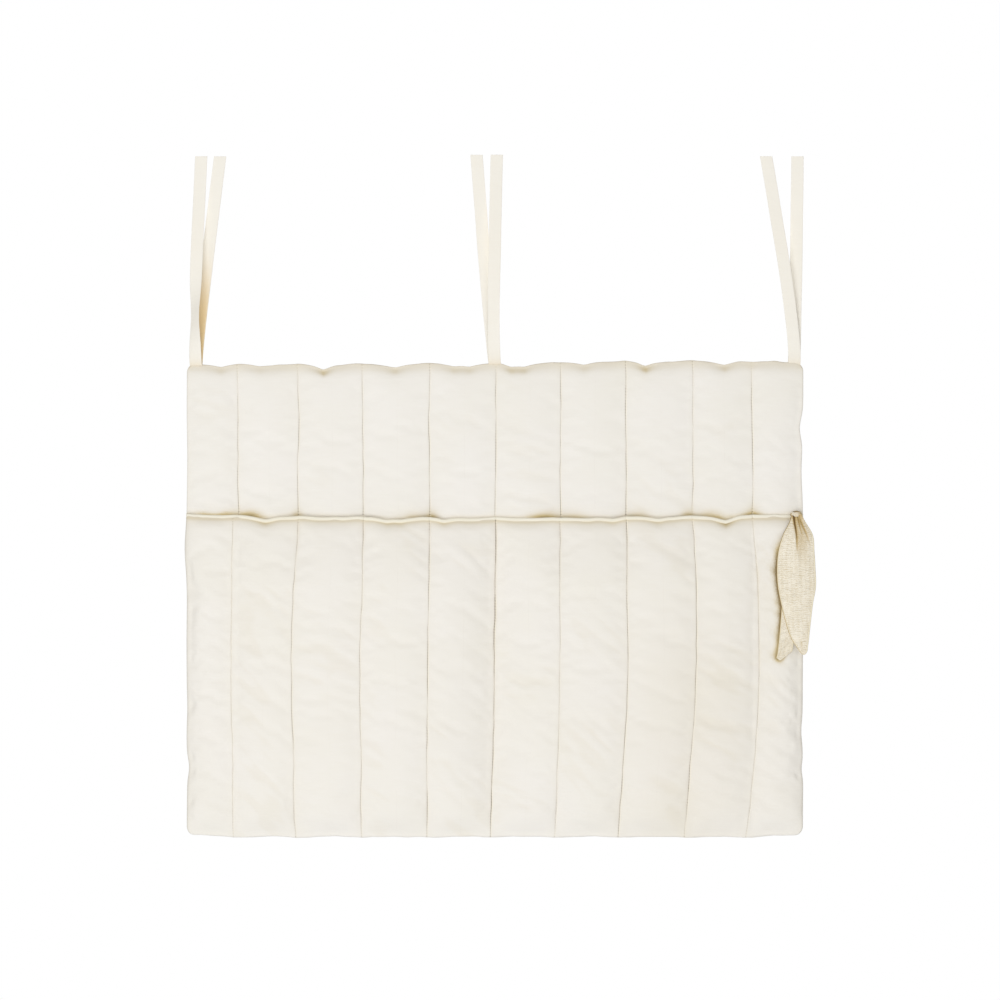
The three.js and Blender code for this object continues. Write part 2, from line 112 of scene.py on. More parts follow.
# How the seams wave to the sides, and how strong the painted shade in each one's needle holes and the
# painted highlight beside them are, from the left one to the right one
SEAM_WANDER = 1.3 * MM
SEAM_WANDER_LENGTH = 55 * MM
SEAM_SHAKE = 0.4 * MM
SEAM_SHAKE_LENGTH = 13 * MM
WANDER_MARGIN = 8 * MM  # the waves start to die away this far outside the outer seams
BACK_SEAM_SHADE_TONES = (0.35, 0.5, 0.75, 0.6, 0.65, 0.75, 0.7, 0.6, 0.5)
POCKET_SEAM_SHADE_TONES = (0.1, 0.5, 0.3, 0.6, 1.0, 0.35, 0.6, 0.7, 0.15)

# How the pocket stands off the panel
POCKET_ROOM = 9 * MM
LAYER_GAP = 0.3 * MM
SIDE_RISE = 125 * MM
DIVIDER_RISE = 64 * MM
BOTTOM_RISE = 90 * MM
BINDING_ROOM = 1.0 * MM
MOUTH_STAND = 0.28  # share of that way that its mouth stands off
MOUTH_LEAN = 70 * MM  # depth over which the pocket leans back to it

# Reliefs in the cloth
LAY_HEIGHT = 0.8 * MM  # slow unevenness that all the layers share
LAY_LENGTH = 120 * MM
PULL_ANGLE = np.radians(30)  # pull wrinkles run this far below level, to the right
PULL_SPREAD = np.radians(14)  # how far that varies from channel to channel
PULL_LENGTH = 46 * MM
PULL_PITCH = 12 * MM
BACK_PULL_HEIGHT = 0.42 * MM
POCKET_PULL_HEIGHT = 1.0 * MM
PUCKER_PITCH = 5.5 * MM
PUCKER_HEIGHT = 0.36 * MM
PUCKER_REACH = 9 * MM
HEM_PUCKER_PITCH = 6 * MM
HEM_PUCKER_HEIGHT = 0.5 * MM
HEM_PUCKER_REACH = 9 * MM
HEM_PUCKER_LENGTH = 30 * MM

# How the cloth settles in the simulation
SIM_COLUMNS = 12  # in each channel
SIM_ROW = 5 * MM
SIM_FRAMES = 20
SIM_PRESSURE = 4
SIM_BENDING = 0.4
SIM_CAP = 2.5 * MM  # the most that a point may move
SIM_HEM = 35 * MM  # depth at the hems over which the movement dies away
BACK_EXTRA = 0.004  # shares by which each cloth is cut too large
POCKET_EXTRA = 0.008

# Light that the cloth loses: its share, and how far it reaches
PULL_TONE = 0.07  # in the valleys of the pull wrinkles
TURN_SHADE = 4.5 * MM  # below the turn of the top hem or the mouth
FOLD_SHADE = 3.2 * MM  # above and below the fold of its hem, which lies that far down
SIDE_SHADE = 1.5 * MM
SEAM_SHADE = 3 * MM
LINING_SHADE = 4 * MM
GAP_SHADE = 5.5 * MM  # above the mouth where it stands off
CREVICE_SHADE = 1.0 * MM  # above the mouth where it lies on
INSIDE_SHADE = 7 * MM  # below it, inside the pocket
SKIRT_SHADE = 0.6 * MM  # under the binding
SASH_SHADE = 1.75
COVER_REACH = 25 * MM  # how near a surface must hang to shade another
COVER_GAIN = 20.0  # makes the edge of what is covered sharp

# Where the mouth stands off the panel and shades it: place across and reach in millimetres, and depth
MOUTH_SHADES = (
    (-282, 8, 0.6), (-264, 11, 0.7), (-238, 12, 0.9), (-193, 5, 0.5), (-80, 14, 0.4), (-62, 6, 0.7),
    (47, 14, 0.9), (78, 14, 0.45), (139, 12, 0.5), (188, 6, 0.6), (214, 16, 0.65), (250, 8, 0.9),
)

# Stitches
STITCH_PITCH = 2.8 * MM
STITCH_LENGTH = 1.9 * MM
STITCH_RADIUS = 0.24 * MM

# Binding
BINDING_HALF = 2.2 * MM
BINDING_BULGE = 0.45 * MM
BINDING_SKIRT = 2.7 * MM
BINDING_TOP = 1.0 * MM
BINDING_WALL = 0.7 * MM
BINDING_RIPPLE = 0.22 * MM
BINDING_GIRTH = 20 * MM  # of its outline, for the cloth's own coordinates

# Tie tapes
TAPE_HALF = 6 * MM
TAPE_THICK = 0.6 * MM  # half its thickness
TAPE_SUNK = 1.2 * MM  # how far its root reaches down into the hem
TAPE_BOW = 2.5 * MM
TAPE_PAIR_GAP = 0.6 * MM
CORNER_TIE = HALF_WIDTH - 9 * MM
TIES = {
    # root, and for the front and the rear tape: its lean, its sway to one side, its turn near its foot
    "left": (-CORNER_TIE, ((5 * MM, -2.2 * MM, 0.85), (23 * MM, -1.0 * MM, 0.0))),
    "centre": (0.0, ((2 * MM, -1.8 * MM, 0.3), (-18 * MM, -1.3 * MM, 0.0))),
    "right": (CORNER_TIE, ((-27 * MM, 4.0 * MM, 0.0), (3.5 * MM, 1.0 * MM, 0.0))),
}
TURN_PLACE = 0.24  # share of the way up a tape
TURN_REACH = 0.16
TURN_FORWARD = 3.4 * MM  # how far it moves forward there, to pass its partner
PARTNER_SHADE = (40 * MM, 125 * MM)  # heights between which the left front tape's shade on its partner ends

# Sash
knot_low, knot_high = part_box("sash_knot")
KNOT = (knot_low + knot_high) / 2
KNOT_SIZE = (knot_high - knot_low) / 2
KNOT_SQUASH = 0.82  # its height, as a share of that of the CAD knot
front_low, front_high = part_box("sash_front_tail")
rear_low, rear_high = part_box("sash_rear_tail")
LEAF_LENGTH = front_high.z - front_low.z
REAR_LENGTH = rear_high.z - rear_low.z
REAR_WIDTH = 20 * MM
REAR_END_WIDTH = 16 * MM
ROOT_WIDTH = 9 * MM
REAR_DRIFT = -12 * MM
REAR_SLANT = 0.078  # how much shorter the rear tail's right edge is
REAR_CORNER = 5 * MM  # how far the corner at its left is cut back
LEAF_ROOT_RISE = 2.4 * MM  # how far the front tail's root reaches up over the knot
LEAF_PLANE = 7.6 * MM  # how far its hanging plane lies behind its foremost point
REAR_PLANE = 0.6 * MM
LEAF_CROWN = 3 * MM
LOBE_HEIGHT = 2.6 * MM  # of its two lobes below the knot
TAIL_TOP = 0.5 * MM  # how far a tail starts above its solid
TAIL_SETTLED = 0.16  # share of its length over which it settles onto its hanging plane
GAUZE_HALF = 0.45 * MM
ROLLED_HEM = 1.2 * MM
EDGE_LINE = 0.5 * MM  # width of the lines of shade along its edges

# How far the front tail reaches to each side of the knot, in millimetres, at even steps down it
LEAF_LEFT = (5.2, 13.2, 17.9, 19.1, 18.2, 15.1, 10.9, 5.4, -3.9)
LEAF_RIGHT = (7.5, 16.0, 17.6, 18.6, 19.0, 16.2, 14.2, 12.4, 10.6)

# The front tail's main crease: where it starts and ends across, and the share of the length it takes
MAIN_CREASE = (-3.8 * MM, 1.2 * MM)
MAIN_CREASE_FOOT = 0.27

# The picture and the floor
PIXEL = 0.974 * MM  # size at the panel of one of the photograph's pixels
PICTURE_SIDE = 1000
TOP_HEM_ROW = 363.5  # the photograph's row at z = 0
MIDDLE_COLUMN = 495  # and its column at x = 0
LENS = 200
SENSOR = 36
FLOOR_LEVEL = -0.70
FLOOR_RADIUS = 0.85
LAMP_COLOUR = (0.97, 0.985, 1.0)
LIGHT_FROM_BELOW = (0.97, 0.985, 1.0, 1.0)
LIGHT_FROM_ABOVE = (1.0, 0.95, 0.85, 1.0)
WHITE = (1.0, 1.0, 1.0, 1.0)

# Seeds of the random draws
BACK_SEED = 11
LINING_SEED = 23
POCKET_SEED = 37
INSIDE_SEED = 41
WANDER_SEED = 13
LAY_SEED = 5
HEM_SEED = 7


def smooth(value, low, high):
    """Smooth step: 3t^2 - 2t^3 of the share t of the way from low to high."""
    t = np.clip((value - low) / (high - low), 0, 1)
    return t * t * (3 - 2 * t)


def grain(x, y, seed):
    """Smooth random hills between -1 and 1: a lattice of random heights, joined by smooth steps."""
    side = 128
    heights = np.random.default_rng(seed).uniform(-1, 1, (side, side))
    i = np.floor(x).astype(int)
    j = np.floor(y).astype(int)
    u = smooth(x - i, 0, 1)
    v = smooth(y - j, 0, 1)
    near = heights[i % side, j % side] * (1 - u) + heights[(i + 1) % side, j % side] * u
    far = heights[i % side, (j + 1) % side] * (1 - u) + heights[(i + 1) % side, (j + 1) % side] * u
    return near * (1 - v) + far * v


def bell(distance, reach):
    """1 at no distance, less on both sides: e to the power of minus the squared share of the reach."""
    return np.exp(-((distance / reach) ** 2))


def fade(distance, reach):
    """1 at no distance, and less by a factor e over each reach."""
    return np.exp(-distance / reach)


def both(front, rear):
    """The numbers of a shell's front points, then those of its rear points."""
    return np.concatenate([front.ravel(), rear.ravel()])


def two_sides(x, y, z, front_half, rear_half):
    """Front and rear points at their distances from a middle surface."""
    return np.stack([x, y - front_half, z], axis=-1), np.stack([x, y + rear_half, z], axis=-1)


# Shader building

class Socket:
    """A node's output. Sums, products and powers of it add Math nodes to its tree."""

    def __init__(self, build, output):
        self.build = build
        self.output = output

    def __add__(self, other):
        return self.build.math("ADD", self, other)

    def __sub__(self, other):
        return self.build.math("SUBTRACT", self, other)

    def __rsub__(self, other):
        return self.build.math("SUBTRACT", other, self)

    def __mul__(self, other):
        return self.build.math("MULTIPLY", self, other)

    def __truediv__(self, other):
        return self.build.math("DIVIDE", self, other)

    def __rtruediv__(self, other):
        return self.build.math("DIVIDE", other, self)

    def __pow__(self, other):
        return self.build.math("POWER", self, other)

    def __abs__(self):
        return self.build.math("ABSOLUTE", self)

    __radd__ = __add__
    __rmul__ = __mul__


class Build:
    """A material or world while its nodes are laid out."""

    def __init__(self, owner):
        owner.use_nodes = True
        self.tree = owner.node_tree
        self.tree.nodes.clear()

    def node(self, kind, settings=None, inputs=None, output=0):
        """Adds a node: first its settings, then the values or links of its sockets. Returns one output,
        or the node itself if output is None."""
        made = self.tree.nodes.new("ShaderNode" + kind)
        for name, value in (settings or {}).items():
            setattr(made, name, value)
        for name, value in (inputs or {}).items():
            if isinstance(value, Socket):
                self.tree.links.new(value.output, made.inputs[name])
            else:
                made.inputs[name].default_value = value
        return made if output is None else Socket(self, made.outputs[output])

    def math(self, operation, first, second=0.0):
        return self.node("Math", {"operation": operation}, {0: first, 1: second})

    def mix(self, factor, first, second):
        """A colour between two colours."""
        settings = {"data_type": "RGBA", "clamp_factor": True}
        return self.node("Mix", settings, {0: factor, 6: first, 7: second}, 2)

    def clamp(self, value):
        return self.node("Clamp", None, {0: value})

    def noise(self, vector, detail):
        """Noise between 0 and 1, one hill for each unit of the vector."""
        inputs = {"Vector": vector, "Scale": 1.0, "Detail": detail, "Roughness": 0.55}
        return self.node("TexNoise", None, inputs)

    def spots(self, u, v, detail=2.0):
        """Noise between 0 and 1, one spot for each unit of two numbers."""
        return self.noise(self.node("CombineXYZ", None, {0: u, 1: v}), detail)

    def split(self, vector):
        """The three numbers of a vector."""
        parts = self.node("SeparateXYZ", None, {0: vector}, None)
        return [Socket(self, part) for part in parts.outputs]

    def attribute(self, name):
        """A number that the mesh holds for each vertex."""
        return self.node("Attribute", {"attribute_name": name}, None, "Fac")

    def scaled_place(self, scale):
        """Object coordinates times a number."""
        place = self.node("TexCoord", None, None, "Object")
        return self.node("VectorMath", {"operation": "SCALE"}, {0: place, "Scale": scale})


def srgb(red, green, blue):
    """A linear colour with full alpha from a colour on the 0 to 255 scale of a screen."""
    screen = np.array([red, green, blue]) / 255
    linear = np.where(screen <= 0.04045, screen / 12.92, ((screen + 0.055) / 1.055) ** 2.4)
    return (*linear.tolist(), 1.0)


TAN = srgb(206, 188, 146)  # of shaded cloth
# brown of the deepest painted shade on cotton, where its shade goes past 1
DEEP_SHADE_BROWN = srgb(112, 88, 52)
# painted shade in the needle holes along a seam
HOLE_SHADE_BROWN = srgb(108, 88, 58)
# painted highlight on the thread beside those holes
LIT_THREAD = srgb(252, 245, 226)
# gold and then brown of painted shade on the gauze
GAUZE_SHADE_GOLD = srgb(196, 170, 116)
GAUZE_SHADE_BROWN = srgb(104, 76, 34)


def new_finish(name, roughness, sheen):
    material = bpy.data.materials.new(name)
    build = Build(material)
    inputs = {"Roughness": roughness, "Specular IOR Level": 0.25}
    inputs.update({"Sheen Weight": sheen, "Sheen Roughness": 0.5})
    surface = build.node("BsdfPrincipled", None, inputs, None)
    build.node("OutputMaterial", None, {"Surface": Socket(build, surface.outputs["BSDF"])}, None)
    return material, build, surface


def connect(build, socket, target):
    build.tree.links.new(socket.output, target)


def emboss(build, surface, height, strength, distance=MM):
    bump = build.node("Bump", None, {"Strength": strength, "Distance": distance, "Height": height})
    connect(build, bump, surface.inputs["Normal"])


def cloth_coordinates(build):
    """The cloth's own coordinates in millimetres, along its two threads."""
    return build.split(build.node("UVMap", {"uv_map": "cloth_mm"}))[:2]


def plain_weave(build, u, v, pitch):
    """Height of a plain weave: threads that pass over and under each other, with uneven thickness."""
    warp = build.math("SINE", u * (np.pi / pitch))
    weft = build.math("SINE", v * (np.pi / pitch))
    slub_along = build.spots(u * 0.06, v * 1.8, 1.0)
    slub_across = build.spots(u * 1.8, v * 0.06, 1.0)
    return warp * weft * 0.35 + slub_along + slub_across


def needle_hole_shade_and_glint(build, v):
    """Painted shade in the needle holes along a seam, a little to its left, and a painted highlight where
    its thread catches light beside them."""
    distance = build.attribute("seam_mm")
    tone = build.attribute("seam_shade_tone")
    wave = build.math("COSINE", v * (2 * np.pi * MM / STITCH_PITCH))
    gap = build.clamp(0.25 - wave * 1.1)
    dark = build.clamp(1.35 - abs(distance + 0.15) * 2.8)
    light = build.clamp(1.3 - abs(distance - 0.75) * 2.0)
    return build.clamp(dark * (gap * 0.94 + 0.06) * tone * 2.2), light * (1 - gap * 0.7) * tone


def covered(build):
    """From 0 where a surface lies open to 1 where another one hangs close before it."""
    open_share = build.node("AmbientOcclusion", {"samples": 6}, {"Distance": COVER_REACH}, "AO")
    return build.clamp((1 - open_share) * COVER_GAIN)


def cotton(name, pale, tan, patch, weave_pitch, relief, sheen, sewn=False):
    """Woven cotton: a pale ground with slow warm and cool patches, an uneven plain weave and fine creases.
    It is painted tan where the mesh's shade attribute says that light is lost, and where its cast attribute
    says so and something hangs before it: painted shade, brown where it goes past 1. Sewn cotton has
    painted shade in its needle holes and a painted highlight on its thread beside them."""
    material, build, surface = new_finish(name, 0.82, sheen)
    u, v = cloth_coordinates(build)
    shade = build.attribute("shade") + build.attribute("cast") * covered(build)
    patches = build.spots(u * 0.012, v * 0.012, 3.0)
    ground = build.mix(build.clamp((patches - 0.35) * 2.2), pale, patch)
    streaks = build.spots(u * 0.05, v * 1.1)
    streaked = build.mix(streaks * 0.10, ground, tan)
    # painted shade: tan where light is lost, and brown where the shade goes past 1
    toned = build.mix(build.clamp(shade), streaked, tan)
    toned = build.mix(build.clamp(shade - 1), toned, DEEP_SHADE_BROWN)
    # painted shade in the needle holes, and a painted highlight beside them
    if sewn:
        dark, light = needle_hole_shade_and_glint(build, v)
        toned = build.mix(light, build.mix(dark, toned, HOLE_SHADE_BROWN), LIT_THREAD)
    connect(build, toned, surface.inputs["Base Color"])
    creases = build.spots(u * 0.11 + v * 0.05, v * 0.20 - u * 0.02, 3.0)
    emboss(build, surface, plain_weave(build, u, v, weave_pitch) * 0.05 + creases * relief, 0.55)
    connect(build, patches * 0.1 + 0.76, surface.inputs["Roughness"])
    return material


def broken_lines(build, along, across, pitch, dash, spread):
    """Thin lines at a pitch, bent and broken into dashes: the tops of a sine, kept where noise is high."""
    bend = build.spots(along * 0.15, across * 0.12) * spread
    wave = build.math("SINE", (across + bend) * (2 * np.pi / pitch))
    kept = build.spots(along / dash, across / (pitch * 1.3))
    return wave * build.clamp((kept - 0.34) * 3.4)


def gauze(name, pale, tan, hem):
    """Crinkled gauze: thin broken creases across it, fainter ones along it, an open speckled weave, and
    a plain rolled hem. Painted shade darkens the creases, among the weave's own speckle, and the turn beside
    the hem, and goes gold and then brown where the shade attribute says that light is lost."""
    material, build, surface = new_finish(name, 0.9, 0.2)
    u, v = cloth_coordinates(build)
    shade = build.attribute("shade")
    edge = build.attribute("edge_mm")
    ribs = broken_lines(build, u, v, 2.0, 5.5, 5.0)
    lines = broken_lines(build, v, u, 4.6, 12.0, 3.0)
    speckle = build.spots(u * 1.15, v * 1.15, 1.0)
    cloud = build.spots(u * 0.09, v * 0.05)
    open_cloth = build.clamp((edge - 1.0) * 2.5)
    # painted shade in the creases, with the weave's own speckle and cloudy tone
    thin = ribs * 0.33 + lines * 0.12 + (speckle - 0.5) * 1.4 + (cloud - 0.5) * 0.8 + 0.24
    crinkled = build.mix(build.clamp(thin) * open_cloth, pale, tan)
    hemmed = build.mix(build.clamp(1 - open_cloth), crinkled, hem)
    # painted shade in the turn beside the rolled hem
    turned = build.clamp(1 - abs(edge - 1.3) * 2.4) * 0.5 + build.clamp(1.2 - edge * 3.0)
    lined = build.mix(build.clamp(turned * 0.35), hemmed, GAUZE_SHADE_BROWN)
    # painted shade where the shade attribute says that light is lost: gold, then brown past 1
    toned = build.mix(build.clamp(shade) * (0.6 + speckle * 0.8), lined, GAUZE_SHADE_GOLD)
    toned = build.mix(build.clamp(shade - 1) * (0.5 + speckle), toned, GAUZE_SHADE_BROWN)
    connect(build, toned, surface.inputs["Base Color"])
    height = (speckle * 0.4 - ribs * 0.3 - lines * 0.15) * open_cloth + plain_weave(build, u, v, 0.7) * 0.10
    emboss(build, surface, height, 0.7)
    connect(build, cloud * 0.1 + 0.84, surface.inputs["Roughness"])
    return material


def sewing_thread(name, light, dark):
    """Twisted thread: fine light and dark turns."""
    material, build, surface = new_finish(name, 0.7, 0.1)
    twist = build.noise(build.scaled_place(1600.0), 1.0)
    connect(build, build.mix(twist, dark, light), surface.inputs["Base Color"])
    emboss(build, surface, twist, 0.4, 0.1 * MM)
    return material


face_cotton = cotton(
    "cotton_face", srgb(243, 240, 236), srgb(206, 188, 144), srgb(241, 238, 231), 0.6, 0.4, 0.1, sewn=True
)
lining_cotton = cotton(
    "cotton_lining", srgb(242, 238, 230), TAN, srgb(239, 234, 224), 0.7, 0.5, 0.1, sewn=True
)
binding_cotton = cotton("binding_cotton", srgb(246, 242, 229), TAN, srgb(244, 239, 222), 0.5, 0.3, 0.12)
tape_cotton = cotton(
    "tape_cotton", srgb(246, 243, 236), srgb(228, 200, 146), srgb(245, 241, 232), 0.5, 0.35, 0.1
)
sash_gauze = gauze("sash_gauze", srgb(248, 241, 226), srgb(206, 188, 150), srgb(246, 237, 212))
seam_thread = sewing_thread("seam_thread", srgb(250, 246, 236), srgb(230, 222, 202))

# Mesh building

def add_object(name, data):
    made = bpy.data.objects.new(name, data)
    bpy.context.scene.collection.objects.link(made)
    return made


def add_piece(name, points, faces, materials):
    mesh = bpy.data.meshes.new(name)
    mesh.from_pydata(points.reshape(-1, 3).tolist(), [], faces)
    for material in materials:
        if material is not None:
            mesh.materials.append(material)
    mesh.polygons.foreach_set("use_smooth", np.ones(len(mesh.polygons), bool))
    mesh.update()
    return add_object(name, mesh)


def add_values(piece, name, values):
    """One number for each vertex, for the materials."""
    attribute = piece.data.attributes.new(name, "FLOAT", "POINT")
    attribute.data.foreach_set("value", np.asarray(values, np.float32).ravel())


def add_cloth_map(piece, uv, shade):
    """Gives a mesh its own coordinates in millimetres and its shade, from one value for each vertex."""
    mesh = piece.data
    corner = np.empty(len(mesh.loops), int)
    mesh.loops.foreach_get("vertex_index", corner)
    layer = mesh.uv_layers.new(name="cloth_mm")
    layer.data.foreach_set("uv", (uv.reshape(-1, 2)[corner] / MM).astype(np.float32).ravel())
    add_values(piece, "shade", shade)


def grid_quads(rows, columns, start=0):
    """Faces of a grid of points, row by row, with the same turning sense all over."""
    corner = start + np.arange(rows - 1)[:, None] * columns + np.arange(columns - 1)[None, :]
    quads = np.stack([corner, corner + columns, corner + columns + 1, corner + 1], axis=-1)
    return quads.reshape(-1, 4)


def grid_border(rows, columns):
    """Point numbers round a grid: along its first row, down, back along its last row and up."""
    top = np.arange(columns)
    right = np.arange(1, rows) * columns + columns - 1
    bottom = (rows - 1) * columns + np.arange(columns - 2, -1, -1)
    left = np.arange(rows - 2, 0, -1) * columns
    return np.concatenate([top, right, bottom, left])


def add_shell(name, front, rear, uv, shade, front_material, rear_material):
    """A closed shell: two grids of points, joined by a wall round their borders."""
    rows, columns = front.shape[:2]
    count = rows * columns
    border = grid_border(rows, columns)
    onward = np.roll(border, -1)
    wall = np.stack([border, onward, onward + count, border + count], axis=-1)
    front_faces = grid_quads(rows, columns)
    rear_faces = grid_quads(rows, columns, count)[:, ::-1]
    faces = np.concatenate([front_faces, wall, rear_faces]).tolist()
    piece = add_piece(name, both(front, rear), faces, [front_material, rear_material])
    kinds = np.zeros(len(faces), int)
    kinds[len(front_faces) + len(wall):] = 1
    piece.data.polygons.foreach_set("material_index", kinds)
    add_cloth_map(piece, both(uv, uv), both(*shade))
    return piece


def ring_quads(count, sides):
    """Faces between closed rings of points that follow each other."""
    ring = np.arange(count - 1)[:, None] * sides
    side = np.arange(sides)[None, :]
    onward = (side + 1) % sides
    quads = np.stack([ring + side, ring + onward, ring + sides + onward, ring + sides + side], axis=-1)
    return quads.reshape(-1, 4)


def add_tube(name, rings, uv, shade, material):
    """A closed tube: a row of closed rings of points, with a flat cap at each end."""
    count, sides = rings.shape[:2]
    faces = ring_quads(count, sides).tolist()
    faces.append(np.arange(sides - 1, -1, -1).tolist())
    faces.append(((count - 1) * sides + np.arange(sides)).tolist())
    piece = add_piece(name, rings, faces, [material])
    add_cloth_map(piece, uv, shade)
    return piece


# The quilt's plan

def channel(s):
    """Number of the channel at each place, the share of the way across it, and its seam's distance."""
    number = np.clip(np.searchsorted(SEAMS, s, side="right") - 1, 0, len(SEAMS) - 2)
    left = SEAMS[number]
    right = SEAMS[number + 1]
    share = np.clip((s - left) / (right - left), 0, 1)
    return number, share, np.minimum(s - left, right - s)


def crown(s):
    """Rise of the channels between their seams: a half wave to a power under 1."""
    _, share, _ = channel(s)
    return np.sin(np.pi * share) ** CROWN_POWER


def hem_fill(distance):
    """How full the wadding is at a distance from a hem: a quarter wave from the flat margin up."""
    share = np.clip((distance - HEM_FLAT) / (HEM_ROLL - HEM_FLAT), 0, 1)
    return np.sin(share * np.pi / 2)


def folded_edge(s, d, start):
    """Share of the hem's thickness near the outline: a quarter circle over the fold's radius."""
    inside = np.minimum(np.minimum(HALF_WIDTH - np.abs(s), d - start), HEIGHT - d)
    share = np.clip(inside / FOLD_RADIUS, 0, 1)
    return np.sqrt(np.maximum(0, 1 - (1 - share) ** 2)) * 0.92 + 0.08


def pull_wrinkles(s, d, seed):
    """Soft creases that run down to the right: hills stretched along that line, with sharp valleys
    where they cross zero, in patches."""
    number, _, _ = channel(s)
    angle = PULL_ANGLE + PULL_SPREAD * np.sin(number * 2.4 + seed)
    along = (s * np.cos(angle) + d * np.sin(angle)) / PULL_LENGTH
    across = (d * np.cos(angle) - s * np.sin(angle)) / PULL_PITCH
    shift = number * 5.3
    hills = np.abs(grain(along + shift, across, seed))
    hills = hills + 0.45 * grain(along * 2.1, across * 2.3 + shift, seed + 1)
    patches = smooth(grain(s / (70 * MM) + shift, d / (60 * MM), seed + 2), -0.2, 0.8)
    return (hills - 0.45) * (0.2 + 0.8 * patches)


def seam_puckers(s, d, seed):
    """Short ripples on both sides of each seam, which fade a little way out from it."""
    _, share, distance = channel(s)
    side = np.searchsorted(SEAMS, s) * 3.7 + (share > 0.5) * 1.9
    ripples = grain(side, d / PUCKER_PITCH + 0.25 * s / PUCKER_PITCH, seed)
    return ripples * bell(distance, PUCKER_REACH) * (1 - bell(distance, 1.5 * MM))


def hem_puckers(s, d, start, seed):
    """Ripples below the top hem or the mouth, and above the bottom hem, which fade away from it."""
    below = np.maximum(0, d - start)
    above = np.maximum(0, HEIGHT - d)
    top = grain(s / HEM_PUCKER_PITCH + below / (14 * MM), below / HEM_PUCKER_LENGTH, seed)
    bottom = grain(s / HEM_PUCKER_PITCH, above / HEM_PUCKER_LENGTH, seed + 1)
    return top * fade(below, HEM_PUCKER_REACH) + 0.7 * bottom * fade(above, HEM_PUCKER_REACH)


def tuck_pull(s, start):
    """How far the tucks draw in the top hem, or the mouth: a sharp bell for each of them, added up."""
    pull = 0 * s
    for place, depth in TOP_TUCKS if start == 0 else MOUTH_TUCKS:
        pull = pull + depth * MM * np.exp(-((np.abs(s - place * MM) / TUCK_REACH) ** 1.3))
    return pull


def side_pull(s, d):
    """How far the side hems are drawn to the middle at each depth: a bell for each tuck, added up."""
    pull = 0 * s
    for sign, place, depth, reach in SIDE_TUCKS:
        pull = pull + sign * depth * MM * bell(d - place * MM, reach * MM) * (np.sign(s) == sign)
    return pull


def side_half(s, d, start, seed):
    """How far one side of the quilt stands from its middle surface."""
    near_hem = np.minimum(d - start, (HEIGHT - d) / 2)
    fill = hem_fill(near_hem)
    rise = crown(s)
    if start > 0:
        rise = rise + (1 - rise) * FAINT_SEAM_FILL * bell(np.abs(s) - OUTER_SEAM, FAINT_SEAM_REACH)
    pull = BACK_PULL_HEIGHT if start == 0 else POCKET_PULL_HEIGHT
    relief = pull * pull_wrinkles(s, d, seed) * rise * fill
    relief = relief + PUCKER_HEIGHT * seam_puckers(s, d, seed + 3) * fill
    gathers = HEM_PUCKER_HEIGHT * hem_puckers(s, d, start, seed + 4) * (0.3 + 0.7 * rise)
    dents = 0.3 * tuck_pull(s, start) * bell(d - start - HEM_FLAT, 4 * MM)
    relief = relief + (gathers - dents) * smooth(near_hem, 0, HEM_FLAT)
    return SEAM_HALF * folded_edge(s, d, start) + (CREST_HALF - SEAM_HALF) * rise * fill + relief


def within_seams(s):
    """1 between the outer seams, and less from there to the side hems."""
    return 1 - smooth(np.abs(s), OUTER_SEAM + WANDER_MARGIN, HALF_WIDTH)


def seam_wander(s, d, seed):
    """Slow waves of the seams to each side, which the cloth between them shares."""
    slow = SEAM_WANDER * grain(s / CHANNEL * 1.37, d / SEAM_WANDER_LENGTH, seed)
    quick = SEAM_SHAKE * grain(s / CHANNEL * 1.37, d / SEAM_SHAKE_LENGTH, seed + 5)
    return (slow + quick) * within_seams(s)


def pocket_drift(s, d):
    """How far the pocket's seams lie to the side: outwards half way down and to the left at the foot."""
    t = np.clip((d - MOUTH) / (HEIGHT - MOUTH), 0, 1)
    outward = 3 * MM * (s / OUTER_SEAM) + 5 * MM * (s / OUTER_SEAM) ** 3
    leftward = 4.5 * MM + 3.5 * MM * np.sin(np.pi * s / HALF_WIDTH)
    at_left = smooth(-s, 3 * CHANNEL, OUTER_SEAM)
    bow = 1 - 0.8 * at_left
    drift = outward * np.sin(np.pi * t) * bow - leftward * t ** 2 * bow - 6 * MM * at_left * (1 - 0.4 * t)
    return drift * within_seams(s)


def round_corners(x, z):
    """Moves a point of the sharp corners onto round ones, keeping its share of the way out."""
    middle = -HEIGHT / 2
    across = np.abs(x) - (HALF_WIDTH - CORNER_RADIUS)
    upward = np.abs(z - middle) - (HEIGHT / 2 - CORNER_RADIUS)
    corner = (across > 0) & (upward > 0)
    a = np.where(corner, across, 1)
    b = np.where(corner, upward, 1)
    stretch = np.maximum(a, b) / np.hypot(a, b)
    round_x = np.sign(x) * (HALF_WIDTH - CORNER_RADIUS + a * stretch)
    round_z = middle + np.sign(z - middle) * (HEIGHT / 2 - CORNER_RADIUS + b * stretch)
    return np.where(corner, round_x, x), np.where(corner, round_z, z)


